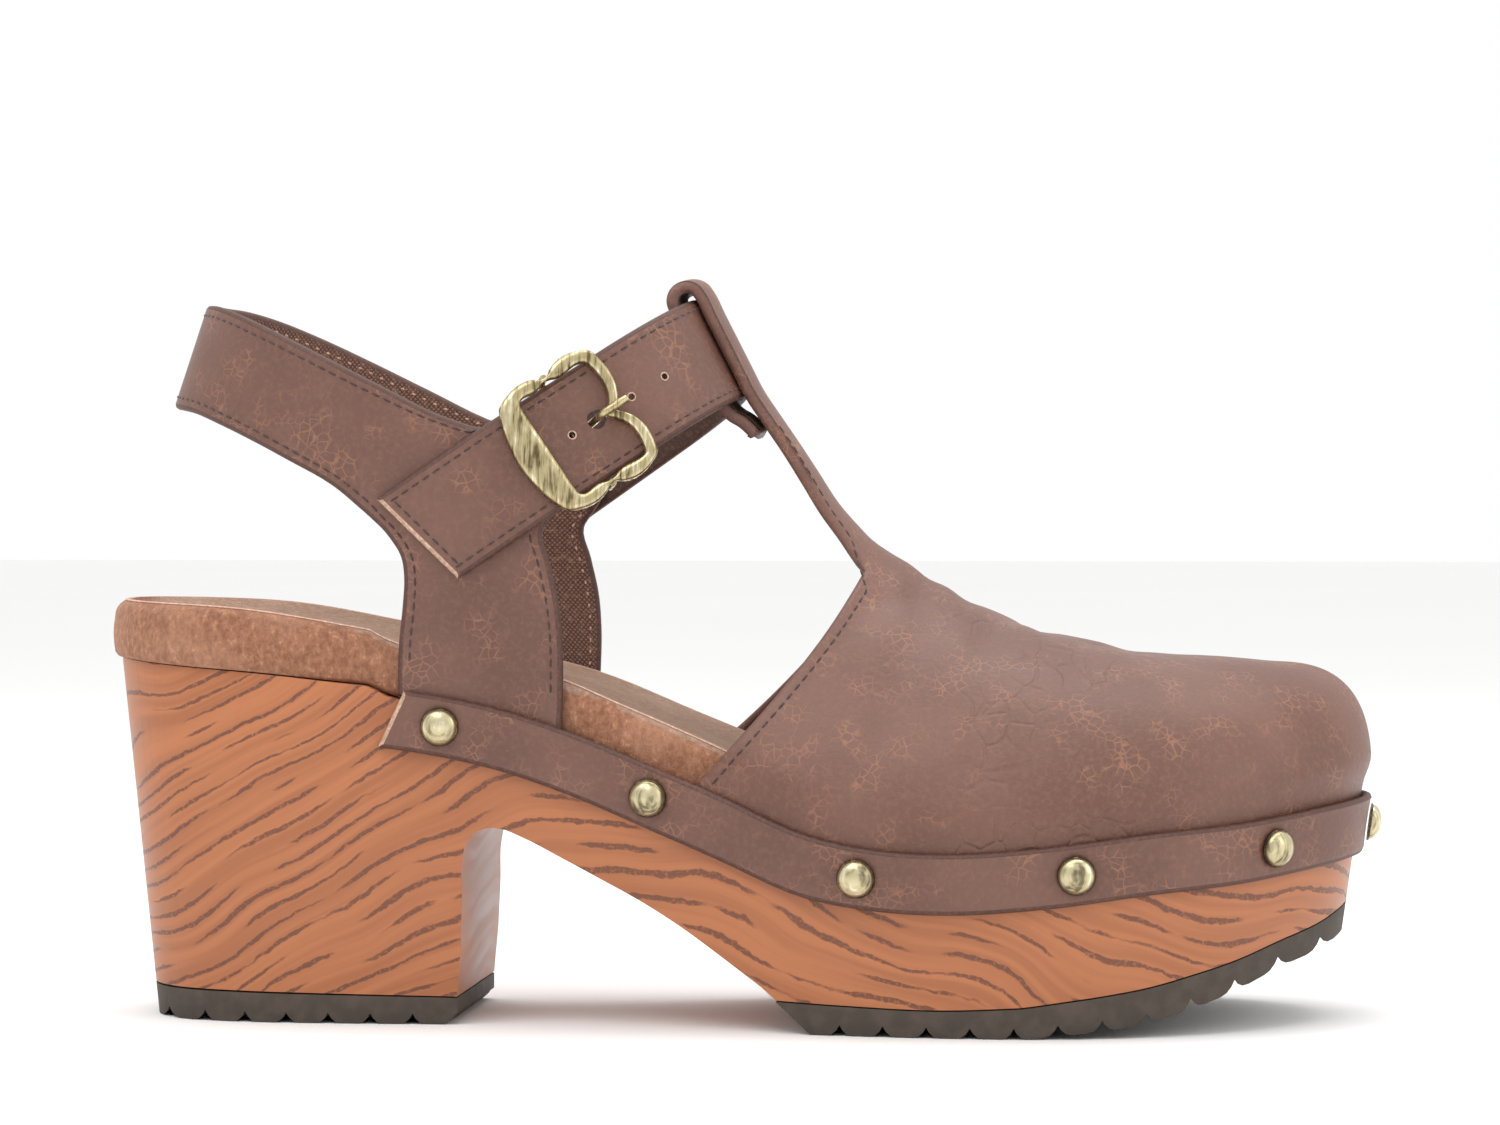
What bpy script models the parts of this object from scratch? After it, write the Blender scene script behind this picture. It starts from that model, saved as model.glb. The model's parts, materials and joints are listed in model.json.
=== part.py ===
"""Right-foot clog with a T-strap vamp, a sling back, a buckled ankle strap and a block heel.

Units are metres. The toe points to +X, the inner side of the foot to +Y, and up is +Z.
The floor is z = 0, and the origin lies in the middle of one flat lug under the heel.
Lengths in the tables are shares of the named sizes that they follow.
"""
import math

import bmesh
import bpy
import numpy as np
from mathutils import Vector

# Sole: overall sizes
SOLE_LENGTH = 0.2545
BALL_WIDTH = 0.0930
HEEL_HEIGHT = 0.0731
PLATFORM_HEIGHT = 0.0364
TOE_SPRING = 0.0198
HEEL_BACK_X = -0.0426

# Sole: how far its side leans in for each metre of depth
SIDE_LEAN = 0.060
HEEL_LEAN = 0.102
TOE_LEAN = 0.140

# Rubber outsoles
HEEL_RUBBER = 0.0065
HEEL_RUBBER_FALL = 0.0011
FORE_RUBBER = 0.0054
LUG_PITCH = 0.0086
LUG_DEPTH = 0.0022
FORE_LUG_ALONG = 0.6106

# Leather, and the clearance between neighbouring pieces
GAP = 0.0003
LOOP_CLEARANCE = 0.0006
VAMP_WALL = 0.0018
QUARTER_WALL = 0.0020
STRAP_THICKNESS = 0.0020
TONGUE_THICKNESS = 0.0025

# Rand: the strip that covers the seam between upper and platform
RAND_WIDTH = 0.0120
RAND_THICKNESS = 0.0018
RAND_COVER = 0.0020
SEAT_RAMP = 0.0060
RAND_TOP_ALONG = 0.2487
RAND_TIP_ALONG = 0.2275
RAND_EDGE = 0.0005

# Footbed
FOOTBED_THICKNESS = 0.0125
FOOTBED_EDGE_RADIUS = 0.0035
FOOTBED_CUP = 0.0035
FOOTBED_SWELL = 0.0015

# Vamp
VAMP_FOOT_LATERAL = 0.4813
VAMP_FOOT_MEDIAL = 0.4617
SPINE_BACK_ALONG = 0.6130
SPINE_FRONT_ALONG = 0.9214
SPINE_FRONT_SHIFT = 0.0050
VAMP_HEIGHT = 0.0589
TOE_BOX_HEIGHT = 0.0298
VAMP_BULGE = 0.0022
BULGE_RISE = 0.0080
THROAT_SWEEP = 1.35

# T-strap, which ends in the loop around the ankle strap
TSTRAP_HALF_WIDTH = 0.0090

# Ankle strap: its middle crosses the instep at this place, and both legs run back and down
STRAP_WIDTH = 0.0225
STRAP_NOSE_ALONG = 0.4857
ANKLE_RISE = 0.0631
STRAP_SLOPE = math.radians(34.0)
NOSE_RADIUS = 0.0280
NOSE_TURN = math.radians(72.3)
FLATTEN_START = 0.0400
FLATTEN_END = 0.0520
LATERAL_REACH = 0.0670
MEDIAL_REACH = 0.0610
TAIL_SKEW = 0.0040
CROSS_AT_NOSE = math.radians(117.0)
CROSS_AT_BUCKLE = math.radians(124.0)
CROSS_AT_TAIL = math.radians(126.0)

# Quarter and sling: one band up from the sole and around the heel
SLING_TURN_ALONG = 0.2888
SLING_BACK_ALONG = 0.0420
SLING_LEAN = 0.338
SLING_POWER = 2.3
QUARTER_STOP = 0.0085
QUARTER_BLEND = 0.0300
RIM_CLEARANCE = 0.0002

# Buckle
BUCKLE_REACH = 0.0311
BUCKLE_HALF_LENGTH = 0.0116
BUCKLE_HALF_WIDTH = 0.0133
BUCKLE_THICKNESS = 0.0022
BUCKLE_EDGE = 0.0005
BAR_RADIUS = 0.0008
BAR_HALF_SPAN = 0.0124
BAR_DEPTH = 0.0035
EYE_RADIUS = 0.0021
PRONG_RADIUS = 0.0008
PRONG_EYE_RADIUS = 0.0019
PRONG_HALF_WIDTH = 0.0015
PRONG_HOLE_AT = 0.0045
PRONG_HOLE_RADIUS = 0.0020
TAB_HALF_WIDTH = 0.0070
TAB_THICKNESS = 0.0012
TAB_LENGTH = 0.0150

# Studs
STUD_RADIUS = 0.00385
STUD_HEIGHT = 0.0025
STUDS_PER_SIDE = 5
FIRST_STUD_ALONG = 0.2770

# Mesh fineness
OUTLINE_STATIONS = 34
VAMP_STATIONS = 17
BAND_COLUMNS = 4
RAND_STATIONS = 56
FOOTBED_STATIONS = 26
PROFILE_STEPS = 44


class Table:
    """Rows of numbers under named columns, which can be read as smooth curves."""

    def __init__(self, columns, *rows):
        self.names = columns.split()
        self.rows = np.array(rows, dtype=float)

    def column(self, name):
        return self.rows[:, self.names.index(name)]

    def curve(self, x_name, y_name):
        return smooth_curve(self.column(x_name), self.column(y_name))


def smooth_curve(xs, ys):
    """A smooth function through the points (xs, ys), level beyond both ends."""
    slopes = np.gradient(ys, xs)

    def value(x):
        x = min(max(x, xs[0]), xs[-1])
        i = min(max(int(np.searchsorted(xs, x, side="right")) - 1, 0), len(xs) - 2)
        span = xs[i + 1] - xs[i]
        t = (x - xs[i]) / span
        from_left = (1.0 + 2.0 * t) * (1.0 - t) ** 2 * ys[i] + t * (1.0 - t) ** 2 * span * slopes[i]
        from_right = t * t * (3.0 - 2.0 * t) * ys[i + 1] + t * t * (t - 1.0) * span * slopes[i + 1]
        return float(from_left + from_right)

    return value


# Plan of the platform: half widths as shares of the ball width
OUTLINE = Table(
    "along lateral medial",
    (0.0000, 0.000, 0.000),
    (0.0098, 0.151, 0.151),
    (0.0452, 0.269, 0.263),
    (0.1120, 0.328, 0.317),
    (0.2102, 0.339, 0.312),
    (0.3280, 0.339, 0.301),
    (0.4656, 0.387, 0.344),
    (0.5835, 0.457, 0.425),
    (0.7014, 0.495, 0.495),
    (0.7996, 0.479, 0.511),
    (0.8782, 0.398, 0.484),
    (0.9489, 0.237, 0.398),
    (0.9882, 0.075, 0.269),
    (1.0000, -0.097, 0.097),
)

# Top of the platform: its rise above the ball as a share of the heel's rise
RIM = Table(
    "along rise",
    (0.000, 1.005),
    (0.066, 0.965),
    (0.133, 0.929),
    (0.197, 0.880),
    (0.249, 0.843),
    (0.324, 0.744),
    (0.388, 0.605),
    (0.449, 0.436),
    (0.503, 0.286),
    (0.568, 0.093),
    (0.642, 0.005),
    (0.681, 0.000),
    (0.749, 0.035),
    (0.833, 0.109),
    (0.902, 0.153),
    (0.972, 0.223),
    (1.000, 0.250),
)

# Front of the heel and arch: heights as shares of the heel height
BREAST = Table(
    "along height",
    (0.2908, 0.208),
    (0.2923, 0.345),
    (0.2931, 0.460),
    (0.2960, 0.500),
    (0.3020, 0.528),
    (0.3112, 0.542),
    (0.3238, 0.542),
    (0.3399, 0.521),
    (0.3721, 0.465),
    (0.4039, 0.408),
    (0.4358, 0.350),
    (0.4676, 0.283),
    (0.4998, 0.205),
    (0.5316, 0.126),
)
HEEL_FRONT_ALONG = 0.2876
ARCH_END_ALONG = 0.5434

# Forefoot: rise of the tread as a share of the toe spring, and thickness of the rubber
FOREFOOT = Table(
    "along spring rubber",
    (0.5434, 0.000, 1.17),
    (0.5945, 0.000, 1.07),
    (0.6723, 0.000, 0.98),
    (0.7328, 0.000, 1.10),
    (0.7658, 0.040, 1.17),
    (0.8012, 0.086, 1.24),
    (0.8346, 0.157, 1.26),
    (0.8660, 0.278, 1.20),
    (0.8998, 0.439, 1.07),
    (0.9340, 0.636, 0.95),
    (0.9650, 0.773, 0.96),
    (1.0000, 1.000, 1.00),
)

# One lug of the tread from notch to notch
LUG = Table(
    "across lift",
    (-0.50, 1.00),
    (-0.43, 0.52),
    (-0.32, 0.14),
    (-0.18, 0.00),
    (0.18, 0.00),
    (0.32, 0.14),
    (0.43, 0.52),
    (0.50, 1.00),
)

# Footbed: thickness, hollow of its top and how far its side stands out (heel) or in (elsewhere)
FOOTBED = Table(
    "along thickness cup swell",
    (0.000, 0.92, 1.00, 1.00),
    (0.100, 1.00, 1.00, 1.00),
    (0.170, 0.95, 0.80, 0.60),
    (0.232, 0.86, 0.60, 0.00),
    (0.310, 0.84, 0.45, 0.00),
    (0.376, 0.88, 0.40, 0.00),
    (0.408, 0.86, 0.40, 0.40),
    (0.440, 0.84, 0.40, 0.00),
    (0.560, 0.74, 0.30, 0.00),
    (0.750, 0.55, 0.20, 0.00),
    (1.000, 0.45, 0.10, 0.00),
)

# Vamp: height of its middle line, squareness of its section and how the section leans forward
VAMP = Table(
    "along height power sweep",
    (0.000, 1.000, 1.60, 0.00),
    (0.080, 0.880, 1.68, 0.30),
    (0.160, 0.763, 1.76, 0.60),
    (0.265, 0.600, 1.88, 0.90),
    (0.370, 0.452, 2.00, 1.00),
    (0.475, 0.333, 2.12, 1.00),
    (0.575, 0.222, 2.25, 1.00),
    (0.680, 0.140, 2.40, 1.00),
    (0.800, 0.092, 2.60, 1.00),
    (0.920, 0.036, 2.85, 1.00),
    (1.000, 0.000, 3.00, 1.00),
)
VAMP_TURNS = (0.0, 6.0, 14.0, 24.0, 35.0, 46.0, 57.0, 66.5, 77.0, 90.0)
ROOT_COLUMN = 8

# T-strap from the vamp to the ankle strap: forward of and below the strap's middle
TSTRAP = Table(
    "forward down half_width crown",
    (0.0284, 0.0362, 1.15, 2.00),
    (0.0243, 0.0315, 1.05, 1.50),
    (0.0202, 0.0252, 1.00, 1.20),
    (0.0161, 0.0190, 1.00, 1.00),
    (0.0124, 0.0136, 1.00, 1.00),
)

# Loop, seen along the instep: out from and across the ankle strap's middle
LOOP_FRONT = Table(
    "across",
    (-0.0112,),
    (-0.0060,),
    (0.0000,),
    (0.0060,),
)
LOOP_CENTRE = 0.0115
LOOP_TURNS = 8
LOOP_BACK = Table(
    "out across",
    (-1.00, 0.0060),
    (-1.00, 0.0000),
    (-1.00, -0.0060),
    (-1.00, -0.0124),
    (-0.80, -0.0144),
    (-0.52, -0.0162),
    (-0.34, -0.0180),
    (-0.22, -0.0198),
)

# Quarter: front and rear edge points of each section up from the sole, then round to the sling
QUARTER = Table(
    "front_along front_rise rear_along rear_rise",
    (0.3741, -0.049, 0.2440, 0.062),
    (0.3737, 0.078, 0.2472, 0.173),
    (0.3705, 0.204, 0.2487, 0.268),
    (0.3646, 0.315, 0.2464, 0.331),
    (0.3591, 0.418, 0.2397, 0.379),
    (0.3686, 0.474, 0.2322, 0.417),
)

# Quarter's end under the ankle strap: place across the strap, and the rear edge point opposite
QUARTER_END = Table(
    "across rear_along rear_rise",
    (-0.40, 0.2240, 0.448),
    (0.00, 0.2173, 0.472),
    (0.40, 0.2102, 0.496),
)

# Section where the quarter turns into the sling
QUARTER_TURN = Table(
    "front_along front_rise rear_along rear_rise",
    (0.3143, 0.742, 0.2004, 0.529),
)
QUARTER_FRONT_ALONG = 0.3729
QUARTER_REAR_ALONG = 0.2429

# Sling: its upper and lower edge, by the share of a quarter turn around the heel
SLING = Table(
    "top_turn top_rise low_turn low_rise",
    (0.000, 0.765, 0.209, 0.563),
    (0.133, 0.880, 0.311, 0.639),
    (0.267, 0.971, 0.422, 0.704),
    (0.422, 1.052, 0.544, 0.756),
    (0.578, 1.108, 0.667, 0.791),
    (0.733, 1.138, 0.789, 0.805),
    (0.867, 1.146, 0.894, 0.810),
    (1.000, 1.149, 1.000, 0.811),
)

# Buckle frame, from the front notch around one half: outer and inner corner of each section
BUCKLE = Table(
    "outer_length outer_width inner_length inner_width",
    (0.76, -0.056, 0.55, -0.056),
    (0.93, 0.180, 0.70, 0.150),
    (1.00, 0.320, 0.79, 0.280),
    (1.00, 0.760, 0.79, 0.740),
    (0.95, 0.910, 0.75, 0.810),
    (0.78, 1.000, 0.66, 0.842),
    (0.17, 1.000, 0.17, 0.842),
    (0.10, 0.955, 0.10, 0.870),
    (-0.10, 0.955, -0.10, 0.870),
    (-0.17, 1.000, -0.17, 0.842),
    (-0.74, 1.000, -0.53, 0.842),
    (-0.92, 0.920, -0.59, 0.800),
    (-1.02, 0.760, -0.61, 0.700),
    (-1.14, 0.400, -0.61, 0.370),
    (-1.19, 0.000, -0.61, 0.000),
)
NOTCH_SKEW = -0.056

# Prong: places along the strap and heights over its middle, from the bar to the tip
PRONG = Table(
    "length height",
    (0.0012, -0.0034),
    (0.0028, -0.0029),
    (0.0039, -0.0012),
    (0.0048, 0.0018),
    (0.0059, 0.0045),
    (0.0078, 0.0052),
    (0.0098, 0.0051),
    (0.0112, 0.0047),
)

outline_lateral = smooth_curve(
    np.arccos(1.0 - 2.0 * OUTLINE.column("along")) / math.pi, OUTLINE.column("lateral"))
outline_medial = smooth_curve(
    np.arccos(1.0 - 2.0 * OUTLINE.column("along")) / math.pi, OUTLINE.column("medial"))
rim_rise = RIM.curve("along", "rise")
fore_spring = FOREFOOT.curve("along", "spring")
fore_rubber = FOREFOOT.curve("along", "rubber")
footbed_thickness = FOOTBED.curve("along", "thickness")
footbed_cup = FOOTBED.curve("along", "cup")
footbed_swell = FOOTBED.curve("along", "swell")
vamp_height = VAMP.curve("along", "height")
vamp_power = VAMP.curve("along", "power")
vamp_sweep = VAMP.curve("along", "sweep")


def mix(a, b, share):
    return a + (b - a) * share


def ramp(value, start, end):
    """0 before start, 1 after end and a soft step between them."""
    t = min(max((value - start) / (end - start), 0.0), 1.0)
    return t * t * (3.0 - 2.0 * t)


def x_at(along):
    return HEEL_BACK_X + SOLE_LENGTH * along


def along_at(x):
    return min(max((x - HEEL_BACK_X) / SOLE_LENGTH, 0.0), 1.0)


# Places on the sole's edge: 0 at the heel's back, 1 at the toe, 2 at the heel's back again

def edge_place(along, medial=False):
    turn = math.acos(1.0 - 2.0 * along) / math.pi
    return 2.0 - turn if medial else turn


def plan_point(place):
    """Point of the platform's top outline: lateral side up to place 1, medial side after it."""
    place = place % 2.0
    turn = min(place, 2.0 - place)
    x = x_at((1.0 - math.cos(math.pi * turn)) / 2.0)
    if place <= 1.0:
        return Vector((x, -BALL_WIDTH * outline_lateral(turn), 0.0))
    return Vector((x, BALL_WIDTH * outline_medial(turn), 0.0))


def plan_normal(place):
    step = 0.004
    tangent = plan_point(place + step) - plan_point(place - step)
    return Vector((tangent.y, -tangent.x, 0.0)).normalized()


def side_lean(normal):
    lean = SIDE_LEAN
    lean += (HEEL_LEAN - SIDE_LEAN) * max(-normal.x, 0.0)
    lean += (TOE_LEAN - SIDE_LEAN) * max(normal.x, 0.0)
    return lean


def sole_side(place, z, out=0.0):
    """Point of the leaning side of the sole at height z, moved out by a distance."""
    point = plan_point(place)
    normal = plan_normal(place)
    inset = (rim_z(point.x) - z) * side_lean(normal)
    point += normal * (out - inset)
    point.z = z
    return point


def half_width(x, medial):
    along = along_at(x)
    return abs(plan_point(edge_place(along, medial)).y)


# Heights of the sole

def rim_z(x):
    return PLATFORM_HEIGHT + (HEEL_HEIGHT - PLATFORM_HEIGHT) * rim_rise(along_at(x))


def seat_z(x):
    """Top of the platform, sunk where the rand covers the upper's lower edge."""
    start = x_at(RAND_TIP_ALONG) - SEAT_RAMP / 2.0
    return rim_z(x) - RAND_COVER * ramp(x, start, start + SEAT_RAMP)


def spring_z(x):
    return TOE_SPRING * max(fore_spring(along_at(x)), 0.0)


def fore_rubber_top(x):
    return spring_z(x) + FORE_RUBBER * fore_rubber(along_at(x))


def heel_rubber_top(x):
    span = x_at(HEEL_FRONT_ALONG) - HEEL_BACK_X
    return HEEL_RUBBER - HEEL_RUBBER_FALL * (x - HEEL_BACK_X) / span


# Mesh tools

def material(name, colour, roughness, metallic=0.0):
    shader = bpy.data.materials.new(name)
    shader.use_nodes = True
    principled = shader.node_tree.nodes["Principled BSDF"]
    principled.inputs["Base Color"].default_value = (*colour, 1.0)
    principled.inputs["Roughness"].default_value = roughness
    principled.inputs["Metallic"].default_value = metallic
    return shader


def solid(name, points, faces, shader, smooth_angle=35.0):
    """One closed object from points and faces, with its faces turned outwards."""
    mesh = bpy.data.meshes.new(name)
    mesh.from_pydata([tuple(point) for point in points], [], faces)
    shape = bmesh.new()
    shape.from_mesh(mesh)
    bmesh.ops.remove_doubles(shape, verts=shape.verts, dist=1e-6)
    bmesh.ops.dissolve_degenerate(shape, edges=shape.edges, dist=1e-6)
    bmesh.ops.recalc_face_normals(shape, faces=shape.faces)
    if shape.calc_volume(signed=True) < 0.0:
        bmesh.ops.reverse_faces(shape, faces=shape.faces)
    shape.to_mesh(mesh)
    shape.free()
    mesh.materials.append(shader)
    mesh.shade_smooth()
    mesh.set_sharp_from_angle(angle=math.radians(smooth_angle))
    piece = bpy.data.objects.new(name, mesh)
    bpy.context.collection.objects.link(piece)
    return piece


def boolean(piece, tool, operation):
    """Cut or join a piece with a tool, which is kept as a hidden helper."""
    tool.hide_render = True
    tool.display_type = "WIRE"
    modifier = piece.modifiers.new(operation.lower(), "BOOLEAN")
    modifier.operation = operation
    modifier.object = tool
    modifier.solver = "EXACT"


def grid_faces(rows, columns, first=0):
    """Quads of a grid of points stored row by row."""
    faces = []
    for row in range(rows - 1):
        for column in range(columns - 1):
            corner = first + row * columns + column
            faces.append((corner, corner + 1, corner + columns + 1, corner + columns))
    return faces


def sheet_normals(points, quads):
    """Smooth normals of an open sheet at its points."""
    normals = [Vector((0.0, 0.0, 0.0)) for _ in points]
    for quad in quads:
        corners = [points[i] for i in quad]
        face_normal = (corners[2] - corners[0]).cross(corners[3] - corners[1])
        for i in quad:
            normals[i] += face_normal
    return [normal.normalized() for normal in normals]


def thick_sheet(name, front, back, quads, shader):
    """A closed wall between two sheets of points that share one set of quads."""
    count = len(front)
    faces = list(quads)
    faces += [tuple(count + i for i in reversed(quad)) for quad in quads]
    uses = {}
    for quad in quads:
        for i, corner in enumerate(quad):
            edge = (corner, quad[(i + 1) % len(quad)])
            uses.setdefault(frozenset(edge), []).append(edge)
    for edges in uses.values():
        if len(edges) == 1:
            start, end = edges[0]
            faces.append((end, start, count + start, count + end))
    return solid(name, list(front) + list(back), faces, shader)


def prism(name, section, half_depth, shader):
    """Side profile in X and Z, extruded across the shoe."""
    count = len(section)
    points = [Vector((x, -half_depth, z)) for x, z in section]
    points += [Vector((x, half_depth, z)) for x, z in section]
    faces = [tuple(range(count)), tuple(range(2 * count - 1, count - 1, -1))]
    for i in range(count):
        after = (i + 1) % count
        faces.append((i, i + count, after + count, after))
    return solid(name, points, faces, shader)


def tube(points, radius, sides=8):
    """Points and faces of a round bar along a route, with flat ends."""
    route = [Vector(point) for point in points]
    rings = []
    across = None
    for i, point in enumerate(route):
        before = route[max(i - 1, 0)]
        after = route[min(i + 1, len(route) - 1)]
        tangent = (after - before).normalized()
        if across is None:
            across = tangent.orthogonal().normalized()
        across = (across - tangent * across.dot(tangent)).normalized()
        other = tangent.cross(across)
        for side in range(sides):
            angle = 2.0 * math.pi * side / sides
            rings.append(point + (across * math.cos(angle) + other * math.sin(angle)) * radius)
    faces = [tuple(range(sides)), tuple(range(len(rings) - sides, len(rings)))]
    for ring in range(len(route) - 1):
        for side in range(sides):
            start = ring * sides + side
            after = ring * sides + (side + 1) % sides
            faces.append((start, after, after + sides, start + sides))
    return rings, faces


# Platform and outsoles

def sole_block(name, shader, low, high):
    """The sole's leaning outline between two heights, before its side profile is cut."""
    count = 2 * OUTLINE_STATIONS
    places = [2.0 * i / count for i in range(count)]
    points = [sole_side(place, low) for place in places]
    points += [sole_side(place, high) for place in places]
    faces = [tuple(range(count)), tuple(range(2 * count - 1, count - 1, -1))]
    for i in range(count):
        after = (i + 1) % count
        faces.append((i, i + count, after + count, after))
    return solid(name, points, faces, shader)


def tread(centres, base):
    """Scalloped bottom of a row of lugs, from back to front."""
    section = []
    for centre in centres:
        for across, lift in LUG.rows:
            x = centre + across * LUG_PITCH
            point = (x, base(x) + lift * LUG_DEPTH)
            if not section or x > section[-1][0] + 1e-6:
                section.append(point)
    return section


def spaced(start, end, steps):
    return [mix(start, end, i / steps) for i in range(steps + 1)]


def platform_profile():
    """Side view of the wood: heel, arch, forefoot with toe spring, and the top rim."""
    back = HEEL_BACK_X - RAND_WIDTH
    front = x_at(1.0) + RAND_WIDTH
    heel_front = x_at(HEEL_FRONT_ALONG)
    section = [(back, heel_rubber_top(back) + GAP), (heel_front, heel_rubber_top(heel_front) + GAP)]
    section += [(x_at(along), HEEL_HEIGHT * height) for along, height in BREAST.rows]
    for x in spaced(x_at(ARCH_END_ALONG), x_at(1.0), PROFILE_STEPS // 2):
        section.append((x, fore_rubber_top(x) + GAP))
    section.append((front, fore_rubber_top(front) + GAP))
    section.append((front, seat_z(front)))
    for x in spaced(x_at(1.0), HEEL_BACK_X, PROFILE_STEPS):
        section.append((x, seat_z(x)))
    section.append((back, seat_z(HEEL_BACK_X)))
    return section


def build_platform(shader):
    platform = sole_block("wood_platform", shader, -FORE_RUBBER, HEEL_HEIGHT + FOOTBED_THICKNESS)
    profile = prism("platform_profile", platform_profile(), BALL_WIDTH, shader)
    boolean(platform, profile, "INTERSECT")


def build_heel_toplift(shader):
    front = x_at(HEEL_FRONT_ALONG)
    back = HEEL_BACK_X - RAND_WIDTH
    first = math.floor(back / LUG_PITCH)
    last = math.floor(front / LUG_PITCH - 0.5)
    section = tread([LUG_PITCH * i for i in range(first, last + 1)], lambda x: 0.0)
    section += [(front, LUG_DEPTH), (front, heel_rubber_top(front)), (section[0][0], heel_rubber_top(back))]
    lift = sole_block("heel_toplift", shader, -FORE_RUBBER, HEEL_RUBBER + LUG_PITCH)
    boolean(lift, prism("toplift_profile", section, BALL_WIDTH, shader), "INTERSECT")


def build_forefoot_outsole(shader):
    rear = x_at(ARCH_END_ALONG)
    front = x_at(1.0) + LUG_PITCH
    rear_centre = x_at(FORE_LUG_ALONG) - LUG_PITCH
    count = math.ceil((front - rear_centre) / LUG_PITCH)
    bottom = tread([rear_centre + LUG_PITCH * i for i in range(count)], spring_z)
    bottom = [point for point in bottom if point[0] >= rear_centre - LUG_PITCH * 0.18 - 1e-6]
    section = [(rear, fore_rubber_top(rear))] + bottom
    section.append((section[-1][0], fore_rubber_top(front) + LUG_DEPTH))
    for x in spaced(x_at(1.0), rear, PROFILE_STEPS // 2)[:-1]:
        section.append((x, fore_rubber_top(x)))
    sole = sole_block("forefoot_outsole", shader, -FORE_RUBBER, PLATFORM_HEIGHT)
    boolean(sole, prism("outsole_profile", section, BALL_WIDTH, shader), "INTERSECT")


def build_rand(shader):
    """Strip around the platform's rim, with slanting rear ends."""
    half = RAND_EDGE / RAND_WIDTH
    heights = ((0.0, -RAND_EDGE), (half, 0.0), (0.5, 0.0), (1.0 - half, 0.0), (1.0, -RAND_EDGE))
    front = []
    back = []
    for i in range(RAND_STATIONS + 1):
        for drop, ease in heights:
            end = mix(RAND_TOP_ALONG, RAND_TIP_ALONG, drop)
            place = mix(edge_place(end), edge_place(end, medial=True), i / RAND_STATIONS)
            x = plan_point(place).x
            slope = (rim_z(x + RAND_WIDTH) - rim_z(x - RAND_WIDTH)) / (2.0 * RAND_WIDTH)
            z = rim_z(x) - RAND_WIDTH * math.hypot(1.0, slope) * drop
            front.append(sole_side(place, z, GAP + RAND_THICKNESS + ease))
            back.append(sole_side(place, z, GAP))
    quads = grid_faces(RAND_STATIONS + 1, len(heights))
    thick_sheet("rand", front, back, quads, shader)


# Footbed

def footbed_top(x):
    return seat_z(x) + GAP + FOOTBED_THICKNESS * footbed_thickness(along_at(x))


def footbed_out(x):
    """How far the footbed's side stands out from the platform's outline."""
    inside = QUARTER_WALL + GAP
    swell = footbed_swell(along_at(x))
    return mix(-inside, FOOTBED_SWELL, swell)


def build_footbed(shader):
    """Padded footbed: a flat bottom, a rounded edge and a cupped top."""
    count = FOOTBED_STATIONS
    places = [i / count for i in range(2 * count)]
    radius = FOOTBED_EDGE_RADIUS
    rows = ((0.0006, 0.0, 0.0), (0.0, 0.0008, 0.0), (0.0, 0.0, radius),
            (0.30 * radius, 0.0, 0.30 * radius), (radius, 0.0, 0.0))
    points = []
    for inset, lift, below in rows:
        for place in places:
            x = plan_point(place).x
            point = plan_point(place) + plan_normal(place) * (footbed_out(x) - inset)
            point.z = seat_z(x) + GAP + lift
            if below or inset == radius:
                point.z = footbed_top(x) - below
            points.append(point)
    ring = len(places)
    faces = []
    for row in range(len(rows) - 1):
        for i in range(ring):
            after = (i + 1) % ring
            start = row * ring
            faces.append((start + i, start + after, start + ring + after, start + ring + i))
    for i in range(count):
        faces.append((i, i + 1, (ring - i - 1) % ring, (ring - i) % ring))
    columns = 6
    grid = []
    top = (len(rows) - 1) * ring
    for i in range(count + 1):
        lateral = points[top + i]
        medial = points[top + (ring - i) % ring]
        for column in range(columns + 1):
            share = column / columns
            point = lateral.lerp(medial, share)
            hollow = 1.0 - abs(2.0 * share - 1.0) ** 2.5
            width = (medial - lateral).length / BALL_WIDTH
            depth = FOOTBED_CUP * footbed_cup(along_at(point.x)) * min(width * 2.0, 1.0)
            point.z -= depth * hollow
            grid.append(point)
    faces += grid_faces(count + 1, columns + 1, first=len(points))
    solid("footbed", points + grid, faces, shader)


# Ankle strap

def strap_direction():
    return Vector((-math.cos(STRAP_SLOPE), 0.0, -math.sin(STRAP_SLOPE)))


def strap_middle():
    return Vector((x_at(STRAP_NOSE_ALONG), 0.0, HEEL_HEIGHT + ANKLE_RISE))


def strap_reach(x, z):
    """Distance of a point from the front of the ankle strap, back along its plane."""
    return (Vector((x, 0.0, z)) - strap_middle()).dot(strap_direction())


def strap_half_span(reach):
    """Half the distance between the strap's two legs: a round nose, straight legs, then level."""
    nose_end = NOSE_RADIUS * (1.0 - math.cos(NOSE_TURN))
    if reach <= nose_end:
        return math.sqrt(max(NOSE_RADIUS ** 2 - (NOSE_RADIUS - reach) ** 2, 0.0))
    slope = 1.0 / math.tan(NOSE_TURN)
    straight = min(reach, FLATTEN_START) - nose_end
    span = NOSE_RADIUS * math.sin(NOSE_TURN) + slope * straight
    bend = min(max(reach - FLATTEN_START, 0.0), FLATTEN_END - FLATTEN_START)
    return span + slope * (bend - bend * bend / (2.0 * (FLATTEN_END - FLATTEN_START)))


def strap_lift():
    """From the quarter's outer face to the middle of the strap that lies on it."""
    return (GAP + STRAP_THICKNESS / 2.0) / math.sin(NOSE_TURN)


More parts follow.
